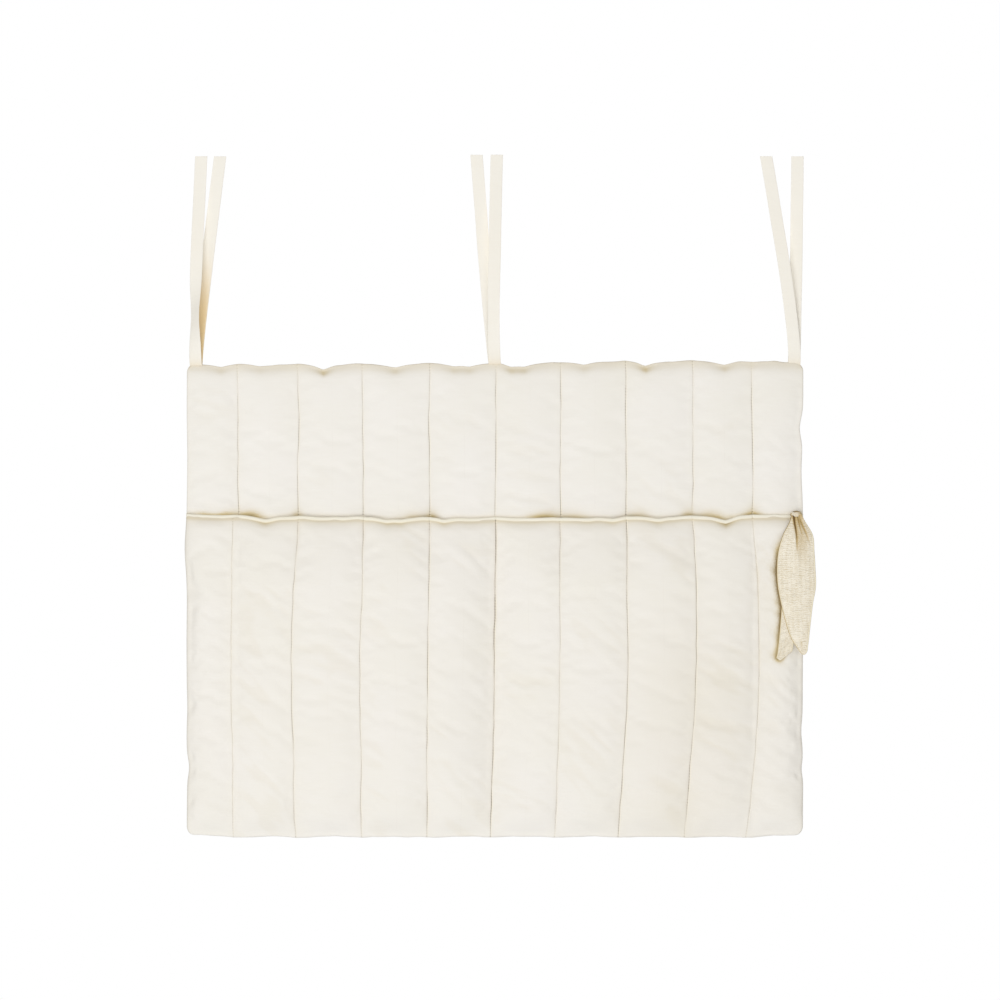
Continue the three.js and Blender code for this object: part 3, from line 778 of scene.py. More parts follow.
def plan(s, d, start):
    """Where a point lies seen from the front: below the top hem or the mouth the cloth follows its
    tucks and sags as half waves between the seams, and the bottom hem rises at its ends."""
    _, share, _ = channel(s)
    from_hem = 1 - smooth(d - start, 0, FALL_REACH)
    from_bottom = 1 - smooth(HEIGHT - d, 0, FALL_REACH)
    half_wave = np.sin(np.pi * share)
    dip = TOP_DIP if start == 0 else MOUTH_DIP
    fall = (dip * half_wave + tuck_pull(s, start)) * from_hem - BOTTOM_DIP * half_wave * from_bottom
    wave = grain(s / (17 * MM), from_bottom * 2, HEM_SEED)
    wave = wave + 0.5 * grain(s / (7 * MM), from_bottom * 2, HEM_SEED + 3)
    wander = HEM_WANDER * wave * (from_hem ** 2 + from_bottom ** 2)
    lift = CORNER_LIFT * fade(HALF_WIDTH - np.abs(s), LIFT_REACH) * smooth(d, HEIGHT - LIFT_DEPTH, HEIGHT)
    side = smooth(np.abs(s), HALF_WIDTH - SIDE_BAND, HALF_WIDTH)
    x, z = round_corners(s, -d)
    x = x + SIDE_WANDER * side * grain(np.sign(s) * 3.5, d / (45 * MM), HEM_SEED + 1)
    return x - side_pull(s, d) * side, z - fall + wander + lift


def lay(x, z):
    """Slow unevenness that the panel and the pocket share."""
    return LAY_HEIGHT * grain(x / LAY_LENGTH, z / LAY_LENGTH, LAY_SEED)


def pocket_open(x, d):
    """How far the pocket has come away from the panel: 0 where it is sewn, 1 where it stands clear."""
    side = smooth(HALF_WIDTH - np.abs(x), 0, SIDE_RISE)
    divider = smooth(np.abs(x), 0, DIVIDER_RISE)
    bottom = smooth(HEIGHT - d, 0, BOTTOM_RISE)
    return np.minimum(side, divider) * bottom


def back_formula(s, d):
    """Front and rear points of the back panel before its cloth settles."""
    x, z = plan(s, d, 0)
    x = x + seam_wander(s, d, WANDER_SEED)
    higher = smooth(s, -120 * MM, 200 * MM) - 0.6 * smooth(s, HALF_WIDTH - SIDE_BAND, HALF_WIDTH)
    z = z + HEM_TILT * higher * (1 - smooth(d, 0, LEVEL_DEPTH))
    return two_sides(x, lay(s, -d), z, side_half(s, d, 0, BACK_SEED), side_half(s, d, 0, LINING_SEED))


def mouth_sag(s):
    """How far the pocket's mouth hangs at each place: a parabola."""
    return MOUTH_SAG * (1 - (s / HALF_WIDTH) ** 2)


def pocket_formula(s, d):
    """Front and rear points of the pocket, which is seated on the panel where it is sewn down,
    before its cloth settles."""
    drift = pocket_drift(s, d)
    over = s + drift
    x, z = plan(s, d, MOUTH)
    x = x + drift + seam_wander(s, d, WANDER_SEED + 1)
    z = z - mouth_sag(s) * (1 - smooth(d - MOUTH, 0, LEVEL_DEPTH))
    rear_half = side_half(s, d, MOUTH, INSIDE_SEED)
    below = side_half(np.clip(over, -HALF_WIDTH, HALF_WIDTH), d, 0, BACK_SEED)
    seated = below + LAYER_GAP + rear_half + BINDING_ROOM * (1 - hem_fill(d - MOUTH))
    clear = 2 * CREST_HALF + POCKET_ROOM
    stand = MOUTH_STAND + (1 - MOUTH_STAND) * smooth(d - MOUTH, 0, MOUTH_LEAN)
    y = lay(over, -d) - (seated + (clear - seated) * pocket_open(over, d) * stand)
    return two_sides(x, y, z, side_half(s, d, MOUTH, POCKET_SEED), rear_half)


# How the cloth settles

def spline_weights(t):
    """Weights of four neighbours for a smooth curve through the middle two, at share t between them."""
    square = t * t
    cube = square * t
    return (
        (2 * square - cube - t) / 2,
        (3 * cube - 5 * square + 2) / 2,
        (4 * square - 3 * cube + t) / 2,
        (cube - square) / 2,
    )


class Quilt:
    """Two cloths round wadding. A formula places them, and a simulation moves them on from there."""

    def __init__(self, start, formula, extra):
        self.start = start
        self.formula = formula
        self.extra = extra
        self.rows = int(round((HEIGHT - start) / SIM_ROW)) + 1
        self.columns = SIM_COLUMNS * (len(SEAMS) - 1) + 1
        self.moves = np.zeros((2, self.rows, self.columns, 3))

    def surfaces(self, s, d):
        """Front and rear points at places across and depths."""
        front, rear = self.formula(s, d)
        return front + self.moved(0, s, d), rear + self.moved(1, s, d)

    def moved(self, side, s, d):
        """The settled movement at each place, between the points of the simulation's grid."""
        number, share, _ = channel(s)
        column = np.clip((number + share) * SIM_COLUMNS, 0, self.columns - 1)
        row = np.clip((d - self.start) / (HEIGHT - self.start), 0, 1) * (self.rows - 1)
        i = np.minimum(row.astype(int), self.rows - 2)
        j = np.minimum(column.astype(int), self.columns - 2)
        down = spline_weights(row - i)
        across = spline_weights(column - j)
        total = np.zeros((*np.shape(s), 3))
        for a in range(4):
            near_row = np.clip(i + a - 1, 0, self.rows - 1)
            for b in range(4):
                near_column = np.clip(j + b - 1, 0, self.columns - 1)
                total += self.moves[side, near_row, near_column] * (down[a] * across[b])[..., None]
        return total

    def settle(self):
        """Runs the cloth: it is held at its seams and hems, is cut a little too large, and is blown up."""
        number = np.repeat(np.arange(len(SEAMS) - 1), SIM_COLUMNS)
        share = np.tile(np.arange(SIM_COLUMNS) / SIM_COLUMNS, len(SEAMS) - 1)
        across = np.append(SEAMS[number] + np.diff(SEAMS)[number] * share, SEAMS[-1])
        s, d = np.meshgrid(across, np.linspace(self.start, HEIGHT, self.rows))
        front, rear = self.formula(s, d)
        uv = np.stack([s, -d], axis=-1)
        cloth = add_shell("settling_cloth", front, rear, uv, (0 * s, 0 * s), None, None)
        sewn = np.zeros(s.shape, bool)
        sewn[:, ::SIM_COLUMNS] = True
        sewn[[0, -1]] = True
        held = np.flatnonzero(both(sewn, sewn)).tolist()
        cloth.vertex_groups.new(name="sewn").add(held, 1.0, "REPLACE")
        before = read_points(cloth.data)
        change = run_cloth(cloth, self.extra) - before
        length = np.linalg.norm(change, axis=-1, keepdims=True)
        change = change * SIM_CAP * np.tanh(length / SIM_CAP) / np.maximum(length, 1e-9)
        from_hem = np.minimum(d - self.start, HEIGHT - d)
        self.moves = change.reshape(2, self.rows, self.columns, 3) * smooth(from_hem, 0, SIM_HEM)[..., None]
        bpy.data.meshes.remove(cloth.data)


def read_points(mesh):
    points = np.empty(len(mesh.vertices) * 3)
    mesh.vertices.foreach_get("co", points)
    return points.reshape(-1, 3)


def run_cloth(cloth, extra):
    """Steps the cloth simulation without gravity and returns where its points end."""
    modifier = cloth.modifiers.new("cloth", "CLOTH")
    settings = modifier.settings
    settings.quality = 6
    settings.vertex_group_mass = "sewn"
    settings.use_pressure = True
    settings.uniform_pressure_force = SIM_PRESSURE
    settings.shrink_min = -extra
    settings.bending_stiffness = SIM_BENDING
    settings.effector_weights.gravity = 0
    modifier.collision_settings.use_collision = False
    modifier.point_cache.frame_start = 1
    modifier.point_cache.frame_end = SIM_FRAMES
    scene = bpy.context.scene
    for frame_number in range(1, SIM_FRAMES + 1):
        scene.frame_set(frame_number)
    seen = cloth.evaluated_get(bpy.context.evaluated_depsgraph_get())
    points = read_points(seen.to_mesh())
    seen.to_mesh_clear()
    scene.frame_set(1)
    return points


def columns_across():
    """Places across the quilt, closer together near the seams and closest at the side hems."""
    even = np.linspace(0, 1, CHANNEL_COLUMNS + 1)
    share = 0.5 * even + 0.25 * (1 - np.cos(np.pi * even))
    inner = SEAMS[:-1, None] + np.diff(SEAMS)[:, None] * share[None, :-1]
    beside = SEWN[:, None] + np.array([-BESIDE_SEAM, BESIDE_SEAM])
    fold = HALF_WIDTH - FOLD_RADIUS * FOLD_STEPS
    return np.unique(np.concatenate([inner.ravel(), beside.ravel(), fold, -fold]))


def rows_down(start, fine_end, coarse):
    """Depths of the rows: close at the two hems, fine down to fine_end and coarser below it."""
    fold = FOLD_RADIUS * FOLD_STEPS
    upper = np.linspace(start + FOLD_RADIUS, fine_end, int((fine_end - start) / FINE_ROW))
    lower = np.linspace(fine_end, HEIGHT - FOLD_RADIUS, int((HEIGHT - fine_end) / coarse) + 2)[1:]
    return np.concatenate([start + fold, upper, lower, HEIGHT - fold[::-1]])


# Light that the cloth loses

def lost_light(s, d, start):
    """How much light is lost. The first answer is for good: beside the seams, in the fold below the top
    hem or the mouth and most in its tucks, and at the side hems. The second is what the sash takes from
    the pocket, and the mouth from the panel above it, while they hang close."""
    _, _, distance = channel(s)
    below = d - start
    is_back = start == 0
    fold = (0.10 + 0.03 * (tuck_pull(s, start) / MM) ** 2) * bell(below - TURN_SHADE, FOLD_SHADE)
    edge = (0.38 if is_back else 0.44) * fade(below, TURN_SHADE)
    edge = edge + 0.06 * fade(HALF_WIDTH - np.abs(s), SIDE_SHADE)
    wrinkles = pull_wrinkles(s, d, BACK_SEED if is_back else POCKET_SEED)
    valleys = PULL_TONE * smooth(-wrinkles, 0.08, 0.4) * crown(s) * (0.6 if is_back else 1)
    shade = 0.06 * fade(distance, SEAM_SHADE) + fold + edge + valleys
    if is_back:
        cast = mouth_shade(s, d)
    else:
        # painted shade on the pocket: a little all over, a thin line under the binding's edge and a soft
        # patch over its right half
        under_binding_shade = 0.25 * bell(below - BINDING_SKIRT - 0.5 * MM, SKIRT_SHADE)
        right_half_shade = bell(s - 190 * MM, 60 * MM) * smooth(below, 40 * MM, 170 * MM)
        shade = shade + 0.035 + under_binding_shade + 0.10 * right_half_shade
        cast = sash_shade(s + pocket_drift(s, d), d)
    return np.clip(shade, 0, 2), np.clip(cast, 0, 2)


def mouth_shade(s, d):
    """Where the pocket's mouth keeps light off the panel: a thin line above it and soft patches where it
    stands off, all of which fade behind the pocket."""
    line = MOUTH + mouth_sag(s) + tuck_pull(s, MOUTH)
    above = np.maximum(line - d - 2 * MM, 0)
    hidden = 0.2 * fade(above, CREVICE_SHADE)
    for place, reach, depth in MOUTH_SHADES:
        hidden = hidden + 1.2 * depth * bell(s - place * MM, reach * MM) * fade(above, GAP_SHADE)
    return hidden * fade(np.maximum(d - line, 0), INSIDE_SHADE)


def sash_shade(x, d):
    """Where the sash keeps light off the pocket: to the left of its two tails, as a soft band that is
    widest half way down. It goes up to 2, which is darker than the other shades."""
    v = (d + front_high.z) / LEAF_LENGTH
    leaf = KNOT.x + leaf_drift(v) - leaf_width(v) / 2
    tail = KNOT.x + REAR_DRIFT * np.clip(v, 0, 1.05) ** 1.6 - 8 * MM
    away = np.minimum(leaf, tail) - x
    reach = 6.5 * MM + 3.0 * MM * bell(v - 0.45, 0.25)
    beside = np.exp(-((np.maximum(away, 0) / reach) ** 1.1))
    down = smooth(v, 0.06, 0.34) * (1 - 0.35 * smooth(v, 0.7, 0.95)) * (1 - smooth(v, 1.02, 1.1))
    return SASH_SHADE * beside * down * smooth(away, -14 * MM, -4 * MM)


def nearest_seam(s):
    """Number of the nearest row of stitches at each place, and how far to its right the place lies."""
    nearest = np.argmin(np.abs(s[..., None] - SEWN), axis=-1)
    return nearest, s - SEWN[nearest]


def seam_shade_tone(s, d, tones):
    """How dark the painted shade in the nearest seam's needle holes is: its own tone, uneven along it."""
    nearest, _ = nearest_seam(s)
    uneven = 0.66 + 0.62 * grain(nearest * 2.7, d / (24 * MM), HEM_SEED + 2)
    uneven = np.maximum(uneven + 0.3 * grain(nearest * 1.7, d / (7 * MM), HEM_SEED + 4), 0.06)
    below_hem = 0.4 + 0.6 * smooth(d, 4 * MM, 40 * MM)
    return np.array(tones)[nearest] * uneven * below_hem


# The panel and the pocket

def quilt_piece(name, columns, rows, quilt):
    """One closed, padded piece of quilt over a range of columns and rows."""
    s, d = np.meshgrid(columns, rows)
    front, rear = quilt.surfaces(s, d)
    uv = np.stack([s, -d], axis=-1)
    lost, cast = lost_light(s, d, quilt.start)
    lining_lost = 0.15 * fade(np.minimum(d - quilt.start, HEIGHT - d), LINING_SHADE)
    piece = add_shell(name, front, rear, uv, (lost, lining_lost), face_cotton, lining_cotton)
    distance = nearest_seam(s)[1] / MM
    tone = seam_shade_tone(s, d, BACK_SEAM_SHADE_TONES if quilt.start == 0 else POCKET_SEAM_SHADE_TONES)
    add_values(piece, "seam_mm", both(distance, distance))
    add_values(piece, "seam_shade_tone", both(tone, tone))
    add_values(piece, "cast", both(cast, 0 * cast))
    return piece


def add_stitches(name, centres, along, outward):
    """Stitches: each is a short bent rod whose middle stands proud of the cloth and whose ends dip
    into it. Its line is a parabola over its length, and its radius thins towards its ends."""
    sides = 5
    t = np.array([-1, -0.6, 0, 0.6, 1])
    across = np.cross(along, outward)
    rise = STITCH_RADIUS * (0.9 - 1.5 * t ** 2)
    radius = STITCH_RADIUS * np.sqrt(1 - (0.85 * t) ** 2)
    turn = 2 * np.pi * np.arange(sides) / sides
    line = centres[:, None] + along[:, None] * (t * STITCH_LENGTH / 2)[:, None]
    line = line + outward[:, None] * rise[:, None]
    ring = across[:, None, None] * np.cos(turn)[:, None] + outward[:, None, None] * np.sin(turn)[:, None]
    points = line[:, :, None] + ring * radius[:, None, None]
    quads = ring_quads(len(t), sides)[:, ::-1]
    caps = np.stack([np.arange(sides), (len(t) - 1) * sides + np.arange(sides - 1, -1, -1)])
    starts = (np.arange(len(centres)) * len(t) * sides)[:, None, None]
    faces = (starts + quads).reshape(-1, 4).tolist() + (starts + caps).reshape(-1, sides).tolist()
    return add_piece(name, points, faces, [seam_thread])


def unit(vectors):
    return vectors / np.linalg.norm(vectors, axis=-1, keepdims=True)


def seam_stitch_frames(seams, quilt, front):
    """Centres, directions and outward normals of the stitches down some seams, on one side. A stitch's
    middle lies at a whole number of pitches below the top hem, as the needle holes expect."""
    first = np.ceil((quilt.start + 2 * MM) / STITCH_PITCH)
    d = STITCH_PITCH * np.arange(first, (HEIGHT - 2 * MM) / STITCH_PITCH)
    s, d = np.meshgrid(np.array(seams), d)
    side = 0 if front else 1
    centre = quilt.surfaces(s, d)[side].reshape(-1, 3)
    before = quilt.surfaces(s, d - 1 * MM)[side].reshape(-1, 3)
    after = quilt.surfaces(s, d + 1 * MM)[side].reshape(-1, 3)
    along = unit(after - before)
    outward = unit(np.cross(along, [1.0, 0, 0]))
    return centre, along, outward if front else -outward


def add_seam_threads(name, seams, quilt):
    """The stitches of some seams, on the front and the rear of the quilt."""
    sides = [seam_stitch_frames(seams, quilt, front) for front in (True, False)]
    return add_stitches(name, *[np.concatenate(pair) for pair in zip(*sides)])


ACROSS = columns_across()
back_quilt = Quilt(0, back_formula, BACK_EXTRA)
pocket_quilt = Quilt(MOUTH, pocket_formula, POCKET_EXTRA)


def build_back():
    rows = rows_down(0, MOUTH + 20 * MM, COARSE_ROW)
    quilt = quilt_piece("back_panel", ACROSS, rows, back_quilt)
    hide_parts("back_face_cloth", "back_wadding", "back_lining")
    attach(quilt, "root")
    threads = add_seam_threads("back_panel_threads", SEWN, back_quilt)
    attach(threads, "root")


POCKET_PARTS = [
    # name, from seam, to seam, body before, body after, nodes that it stands for
    ("pocket_left_side", -HALF_WIDTH, -OUTER_SEAM, "root", None, "pocket_left_side"),
    ("pocket_left_outer", -OUTER_SEAM, -2 * CHANNEL, "root", "pocket_left_half", "pocket_left"),
    ("pocket_left_inner", -2 * CHANNEL, 0, "pocket_left_half", "root", "pocket_left"),
    ("pocket_right_inner", 0, 2 * CHANNEL, "root", "pocket_right_half", "pocket_right"),
    ("pocket_right_outer", 2 * CHANNEL, OUTER_SEAM, "pocket_right_half", "root", "pocket_right"),
    ("pocket_right_side", OUTER_SEAM, HALF_WIDTH, "root", None, "pocket_right_side"),
]


def move_with(piece, first, second):
    """Rides on one body, or, where it lies between two bodies, only has its placement baked into its points.
    """
    if second is None:
        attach(piece, first)
    else:
        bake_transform(piece)


def binding_rings(columns):
    """The binding's outline at each column: up the front, over the mouth, down the back and up inside,
    with shallow slanting ripples."""
    front, rear = pocket_quilt.surfaces(columns, np.full_like(columns, MOUTH))
    middle = (front + rear)[:, None] / 2
    turn = np.linspace(-0.5, 1.5, 17) * np.pi
    leg = np.clip(-np.sin(turn), 0, 1)
    top = np.clip(turn, 0, np.pi)
    outer_y = -np.cos(top) * BINDING_HALF
    outer_y = outer_y + np.sign(outer_y) * BINDING_BULGE * np.sin(np.pi * leg)
    outer_z = np.where(leg > 0, -leg * BINDING_SKIRT, np.sin(top) * BINDING_TOP)
    inner_turn = np.linspace(np.pi, 0, 7)
    inner_half = BINDING_HALF - BINDING_WALL
    inner_z = np.sin(inner_turn) * (BINDING_TOP - BINDING_WALL) - 0.2 * MM
    y = np.concatenate([outer_y, [inner_half], -np.cos(inner_turn) * inner_half, [-inner_half]])
    z = np.concatenate([outer_z, [-BINDING_SKIRT], inner_z, [-BINDING_SKIRT]])
    slant = columns[:, None] / (7 * MM) + z / (4 * MM)
    ripple = BINDING_RIPPLE * grain(slant, np.full((1, len(y)), 0.5), 51)
    return middle + np.stack([0 * slant, y + np.sign(y) * ripple, z + 0 * slant], axis=-1)


def build_binding(name, columns):
    rings = binding_rings(columns)[:, ::-1]
    path = np.linspace(0, BINDING_GIRTH, rings.shape[1])
    uv = np.stack(np.meshgrid(columns, path, indexing="ij"), axis=-1)
    low = rings[..., 2].max(axis=1, keepdims=True) - rings[..., 2]
    return add_tube(name, rings, uv, 0.35 * smooth(low, 2.4 * MM, 3.7 * MM), binding_cotton)


def build_pocket():
    rows = rows_down(MOUTH, HEIGHT - FOLD_RADIUS - 1 * MM, FINE_ROW)
    for name, low, high, first, second, node in POCKET_PARTS:
        columns = ACROSS[(ACROSS >= low - 1e-9) & (ACROSS <= high + 1e-9)]
        quilt = quilt_piece(name + "_panel", columns, rows, pocket_quilt)
        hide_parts(node + "_face_cloth", node + "_wadding", node + "_lining")
        move_with(quilt, first, second)
        binding = build_binding(name + "_binding_strip", columns)
        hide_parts(node + "_binding")
        move_with(binding, first, second)
        own = [x for x in SEWN if low < x < high]
        if second is not None:
            own.append(low if abs(low) > abs(high) else high)
        if name == "pocket_left_inner":
            own.append(0.0)
        if own:
            threads = add_seam_threads(name + "_threads", own, pocket_quilt)
            move_with(threads, first, second)


# Tie tapes

def rounded(wave, power):
    """A wave between -1 and 1 to a power under 1, with its sign kept, which makes its tops flat."""
    return np.sign(wave) * np.abs(wave) ** power


def tape_rings(root, foot, length, lean, sway, turn, front, seed):
    """A tape's outline at each step up it: a flat oblong with round edges, bowed to one side, turned
    about its own line near its foot, with slow waves. It moves forward where it turns."""
    steps = np.linspace(0, 1, 110)
    t = np.concatenate([steps[:-1], [0.9985, 1]])[:, None]
    sides = 28
    angle = 2 * np.pi * (np.arange(sides) + 0.5) / sides
    across = rounded(np.cos(angle), 0.35) * TAPE_HALF
    thick = rounded(np.sin(angle), 0.5) * TAPE_THICK
    wave = 0.4 * MM * grain(t * 5 + seed, t * 0 + 0.5, 61) * smooth(t, 0, 0.15)
    turned = bell(t - TURN_PLACE, TURN_REACH)
    twist = turn * turned + 0.25 * grain(t * 3 + seed, t * 0 + 2.5, 62) * smooth(t, 0.3, 0.8)
    away = front * (TAPE_THICK + TAPE_PAIR_GAP / 2 + TAPE_BOW * np.sin(np.pi * t) ** 2)
    away = away - TURN_FORWARD * np.abs(np.sin(turn)) * turned
    ripple = 0.12 * MM * grain(t * 60 + across / (6 * MM), t * 0 + seed + 0.5, 63)
    line = root + lean * t + sway * np.sin(np.pi * t ** 0.6) + wave
    x = line + across * np.cos(twist) - thick * np.sin(twist)
    y = away - across * np.sin(twist) + thick * np.cos(twist) + ripple
    z = foot + (length + TAPE_SUNK) * t - TAPE_SUNK + 0 * x
    round_it = np.arange(sides)[None, :] * (2 * TAPE_HALF / 14)
    uv = np.stack(np.broadcast_arrays(round_it, length * t), axis=-1)
    shade = 0.35 * fade(t * length, 5 * MM) + 0 * x
    return np.stack([x, y, z], axis=-1), uv, shade


def build_ties():
    for index, (side, (root, tapes)) in enumerate(TIES.items()):
        for place, front, (lean, sway, turn) in zip(("front", "rear"), (-1, 1), tapes):
            node = f"tie_{side}_{place}"
            low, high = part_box(node)
            length = high.z - low.z
            rings, uv, shade = tape_rings(root, low.z, length, lean, sway, turn, front, index * 7.3 + front)
            tape = add_tube(node + "_tape", rings, uv, shade, tape_cotton)
            if node == "tie_left_rear":
                add_values(tape, "cast", 0.9 * (1 - smooth(rings[..., 2], *PARTNER_SHADE)))
            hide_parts(node)
            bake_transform(tape)


# Sash

def curve_through(places, v):
    """A smooth curve through evenly spaced values in millimetres, at shares v of the way along them."""
    values = np.array(places) * MM
    last = len(values) - 1
    step = np.clip(v, 0, 1) * last
    i = np.minimum(step.astype(int), last - 1)
    weights = spline_weights(step - i)
    return sum(weight * values[np.clip(i + k - 1, 0, last)] for k, weight in enumerate(weights))


def leaf_width(v):
    """Width down the front tail, which closes to a blunt, round tip."""
    tip = np.sqrt(1 - np.clip((v - 0.96) / 0.04, 0, 1) ** 2 * 0.99)
    return (curve_through(LEAF_LEFT, v) + curve_through(LEAF_RIGHT, v)) * tip


def leaf_drift(v):
    """How far the front tail's middle line lies to the right."""
    return (curve_through(LEAF_RIGHT, v) - curve_through(LEAF_LEFT, v)) / 2


def rear_width(v):
    """Width down the rear tail: it opens from the knot, narrows a little and is cut off, with round
    corners."""
    opened = ROOT_WIDTH + (REAR_WIDTH - ROOT_WIDTH) * smooth(v, 0, 0.3)
    narrowed = opened + (REAR_END_WIDTH - opened) * smooth(v, 0.3, 0.93)
    return narrowed * (1 - 0.22 * np.clip((v - 0.985) / 0.015, 0, 1) ** 2)


def crinkles(u_mm, v_mm, seed):
    """Fine ribs across the gauze, bent and uneven, crossed by faint lengthwise lines."""
    bent = v_mm + 1.6 * grain(u_mm / 7, v_mm / 9, seed)
    ribs = grain(u_mm / 9, bent / 1.5, seed + 1) + 0.6 * grain(u_mm / 4, bent / 0.9, seed + 2)
    lines = grain(u_mm / 1.6, v_mm / 26, seed + 3)
    return 0.20 * ribs + 0.10 * lines


def crease(x, v, top, foot, top_x, foot_x, width):
    """A fold that runs down from v = top to v = foot and from one place across to another. It is widest
    at its top, as a bell across it, and closes at its foot."""
    t = np.clip((v - top) / (foot - top), 0, 1)
    line = top_x + (foot_x - top_x) * t
    return bell(x - line, width * (1 - 0.55 * t)) * (1 - t ** 2) * smooth(v, top - 0.02, top + 0.01)


def add_tail(name, node, u, width, place, uv, shade, seed):
    """A gauze sheet round a middle surface, with rolled hems at its sides, in place of a CAD node."""
    relief = crinkles(uv[..., 0] / MM, uv[..., 1] / MM, seed) * MM
    edge = (1 - np.abs(u)) * width / 2
    hem = np.clip(1 - np.abs(edge / (ROLLED_HEM / 2) - 1), 0, 1) ** 0.5 * (edge < ROLLED_HEM)
    half = GAUZE_HALF * np.clip(0.12 + edge / (0.5 * MM), 0, 1) + 0.55 * MM * hem
    relief = relief * smooth(edge, ROLLED_HEM, ROLLED_HEM + 1 * MM)
    front, rear = two_sides(*place, half - relief, half + relief)
    tail = add_shell(name, front, rear, uv, (shade, 0.5 * shade), sash_gauze, sash_gauze)
    add_values(tail, "edge_mm", both(edge, edge) / MM)
    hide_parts(node)
    return tail


def build_front_tail():
    rows = np.linspace(0, 1, 190)
    u, v = np.meshgrid(np.sin(np.linspace(-np.pi / 2, np.pi / 2, 85)), rows)
    width = leaf_width(v)
    over = u * width / 2
    main = crease(over, v, 0.0, MAIN_CREASE_FOOT, *MAIN_CREASE, 1.5 * MM)
    core = crease(over, v, 0.0, MAIN_CREASE_FOOT, *MAIN_CREASE, 0.9 * MM)
    second = crease(over, v, 0.02, 0.22, 2.6 * MM, 14 * MM, 1.2 * MM)
    third = crease(over, v, 0.0, 0.14, 0.0 * MM, 4.5 * MM, 0.8 * MM)
    right_of_main = over - MAIN_CREASE[0] - 5 * MM * np.clip(v / MAIN_CREASE_FOOT, 0, 1)
    right_lobe = smooth(right_of_main, 0, 1.5 * MM) * (1 - smooth(right_of_main, 5 * MM, 16 * MM))
    right_lobe = right_lobe * (1 - smooth(v, 0.12, 0.42))
    root = np.clip(1 - v / 0.05, 0, 1) ** 2
    x = KNOT.x + leaf_drift(v) + over * (1 - 0.4 * root * (u > 0))
    rise = LEAF_ROOT_RISE * (1 + 0.8 * smooth(u, -0.2, 0.9))
    z = front_high.z + TAIL_TOP - LEAF_LENGTH * v + rise * root
    belly = LEAF_CROWN * (1 - u ** 2) * np.sin(np.pi * v)
    lobes = LOBE_HEIGHT * (1 - u ** 2) * smooth(v, 0, 0.07) * (1 - smooth(v, 0.15, 0.5))
    lobes = lobes - 0.8 * MM * right_lobe
    root_y = KNOT.y - 2.4 * MM
    y = root_y + (front_low.y + LEAF_PLANE - root_y) * smooth(v, 0, TAIL_SETTLED) - belly - lobes
    y = y + (1.7 * main + 1.0 * second + 0.8 * third) * MM * smooth(v, 0, 0.07)
    out = 1 - ((x - KNOT.x) / (1.15 * KNOT_SIZE.x)) ** 2 - ((z - KNOT.z) / KNOT_SIZE.z) ** 2
    before_knot = KNOT.y - KNOT_SIZE.y * np.sqrt(np.maximum(out, 0)) - 0.9 * MM * (out > 0)
    y = np.minimum(y, before_knot + 2.4 * MM * (1 - smooth(v, 0, 0.012)))
    uv = np.stack([over, LEAF_LENGTH * v], axis=-1)
    left_edge = bell((1 + u) * width / 2, EDGE_LINE) * (1 - 0.5 * v)
    right_edge = bell((1 - u) * width / 2, EDGE_LINE) * (1 - v)
    # painted shade in a short crease near the tip
    tip_crease_shade = crease(over, v, 0.90, 0.975, 0.6 * MM, -1.2 * MM, 1.0 * MM)
    shade = 1.0 * main + 1.3 * core + 0.8 * second + 0.9 * third + 0.5 * right_lobe + 0.35 * tip_crease_shade
    shade = shade + 2.0 * left_edge + 0.5 * right_edge + 0.6 * fade(v, 0.02)
    shade = np.clip(shade, 0, 2)
    tail = add_tail("sash_front_leaf", "sash_front_tail", u, width, (x, y, z), uv, shade, 71)
    area = np.trapz(leaf_width(rows), rows * LEAF_LENGTH)
    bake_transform(tail)


def build_rear_tail():
    rows = np.linspace(0, 1, 190)
    u, v = np.meshgrid(np.sin(np.linspace(-np.pi / 2, np.pi / 2, 49)), rows)
    width = rear_width(v)
    over = u * width / 2
    x = KNOT.x + REAR_DRIFT * v ** 1.6 + over
    corner = REAR_CORNER * np.clip((-u - 0.35) / 0.65, 0, 1) ** 2 * smooth(v, 0.93, 1)
    z = rear_high.z + TAIL_TOP - REAR_LENGTH * v * (1 - REAR_SLANT * (1 + u) / 2) + corner
    y = KNOT.y + (rear_low.y + REAR_PLANE - KNOT.y) * smooth(v, 0, TAIL_SETTLED)
    y = y + 0.5 * MM * grain(u * 1.5 + 3, v * 6, 77)
    uv = np.stack([over, REAR_LENGTH * v], axis=-1)
    shade = 0.12 * smooth(u, 0.4, 1.0) + 1.3 * bell((1 + u) * width / 2, 0.45 * MM)
    shade = shade + 0.7 * bell((1 - v) * REAR_LENGTH, 0.4 * MM)
    tail = add_tail("sash_rear_strip", "sash_rear_tail", u, width, (x, y, z), uv, shade, 81)
    area = np.trapz(rear_width(rows), rows * REAR_LENGTH)
    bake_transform(tail)


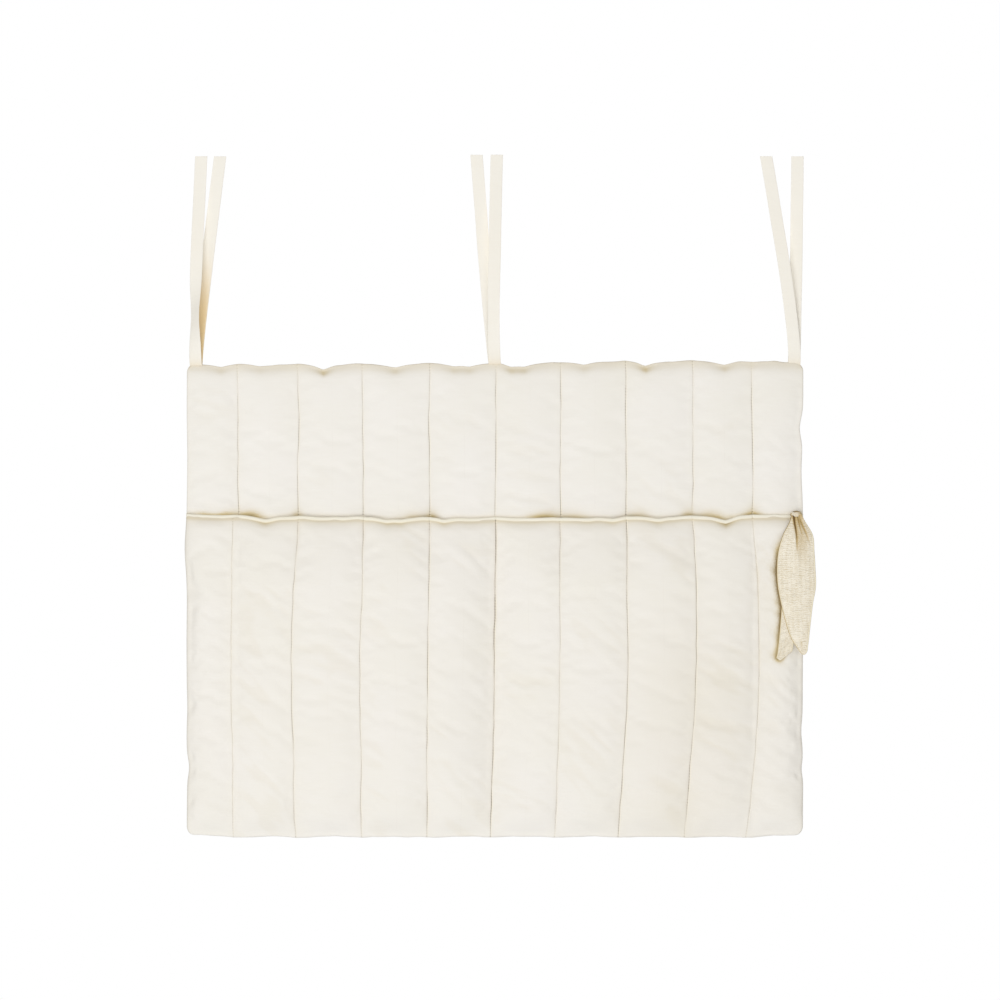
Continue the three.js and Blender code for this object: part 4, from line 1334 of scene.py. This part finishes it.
def build_knot():
    """The knot: a squashed ball, wound with slanting turns of gauze whose edges are creases. Painted shade
    lies in those creases, along its top and left rims and over its right side.
    """
    turn, tilt = np.meshgrid(np.linspace(0, 2 * np.pi, 96, endpoint=False), np.linspace(-1, 1, 49))
    slope = tilt * np.pi / 2 * 0.985
    across, level = np.sin(slope), np.cos(slope)
    up = level * np.sin(turn)
    wraps = np.abs(np.sin(1.5 * np.pi * (0.95 * up + 0.3 * across) + 0.4))
    size = 0.93 + 0.10 * wraps ** 0.6 + 0.03 * grain(across * 4 + 9, turn * 3, 91)
    radii = np.array(KNOT_SIZE) * np.array([1, 1, KNOT_SQUASH])
    points = np.array(KNOT) + np.stack([across, level * np.cos(turn), up], axis=-1) * size[..., None] * radii
    uv = np.stack([across * radii[0], turn * radii[2]], axis=-1)
    # painted shade along the knot's top and left rims
    rim = 1.9 * smooth(up, 0.6, 0.88) + 1.2 * smooth(-across, 0.75, 0.95)
    shade = 0.9 * fade(wraps, 0.14) + 0.1 + rim + 0.5 * smooth(across, 0.1, 0.6)
    knot = add_tube("sash_knot_wrap", points, uv, shade, sash_gauze)
    add_values(knot, "edge_mm", np.full(len(knot.data.vertices), 10.0))
    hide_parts("sash_knot")
    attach(knot, "root")


# The picture

def build_camera():
    """Straight on to the panel, from far enough away that it shows no perspective."""
    data = bpy.data.cameras.new("camera")
    data.lens = LENS
    data.sensor_width = SENSOR
    data.clip_end = 100
    camera = add_object("camera", data)
    middle = PICTURE_SIDE / 2
    x = (middle - MIDDLE_COLUMN) * PIXEL
    z = (TOP_HEM_ROW - middle) * PIXEL
    camera.location = (x, -PICTURE_SIDE * PIXEL * LENS / SENSOR, z)
    camera.rotation_euler = (np.pi / 2, 0, 0)
    bpy.context.scene.camera = camera


def build_world():
    """White where the camera, gloss or glass sees it. It lights the cloth less from above."""
    world = bpy.data.worlds.new("studio")
    build = Build(world)
    path = build.node("LightPath", None, None, None)
    rays = [Socket(build, path.outputs[f"Is {kind} Ray"]) for kind in ("Camera", "Glossy", "Transmission")]
    upward = build.split(build.node("TexCoord", None, None, "Generated"))[2]
    tint = build.mix(build.clamp(upward * 0.5 + 0.5), LIGHT_FROM_BELOW, LIGHT_FROM_ABOVE)
    light = build.node("Background", None, {"Color": tint, "Strength": 0.53 - upward * 0.13})
    white = build.node("Background", None, {"Color": WHITE, "Strength": 1.0})
    mixed = build.node("MixShader", None, {0: build.clamp(rays[0] + rays[1] + rays[2]), 1: light, 2: white})
    build.node("OutputWorld", None, {"Surface": mixed}, None)
    bpy.context.scene.world = world


def build_lamp(name, place, size, power):
    data = bpy.data.lights.new(name, "AREA")
    data.shape = "SQUARE"
    data.size = size
    data.energy = power
    data.color = LAMP_COLOUR
    lamp = add_object(name, data)
    lamp.location = place
    aim = Vector((0, 0, -HEIGHT / 2)) - Vector(place)
    lamp.rotation_euler = aim.to_track_quat("-Z", "Y").to_euler()


def build_floor():
    """A plain pale disc under the hanging panel, which thins out to the white round it."""
    turn = np.linspace(0, 2 * np.pi, 96, endpoint=False)
    level = np.full_like(turn, FLOOR_LEVEL)
    rim = np.stack([FLOOR_RADIUS * np.cos(turn), FLOOR_RADIUS * np.sin(turn), level], axis=-1)
    material, build, surface = new_finish("pale_floor", 0.9, 0.0)
    x, y, _ = build.split(build.scaled_place(1 / FLOOR_RADIUS))
    reach = (x * x + y * y) ** 0.5
    speckle = build.noise(build.scaled_place(9.0), 3.0)
    connect(build, build.mix(speckle, srgb(240, 239, 237), srgb(246, 245, 243)), surface.inputs["Base Color"])
    connect(build, build.clamp((1 - reach) * 2.2), surface.inputs["Alpha"])
    surface.inputs["Emission Color"].default_value = (1.0, 0.99, 0.98, 1.0)
    surface.inputs["Emission Strength"].default_value = 0.4
    floor = add_piece("floor", rim, [np.arange(len(rim)).tolist()], [material])
    floor.visible_diffuse = False
    floor.visible_shadow = False


back_quilt.settle()
pocket_quilt.settle()
build_back()
build_pocket()
build_ties()
build_knot()
build_rear_tail()
build_front_tail()
build_camera()
build_world()
build_floor()
build_lamp("key", (-0.85, -2.8, -0.55), 2.2, 43)
build_lamp("fill", (1.5, -2.8, 0.0), 1.8, 11)
build_lamp("rear", (0.7, 2.8, -0.1), 2.2, 48)
bpy.context.scene.view_settings.view_transform = "Standard"
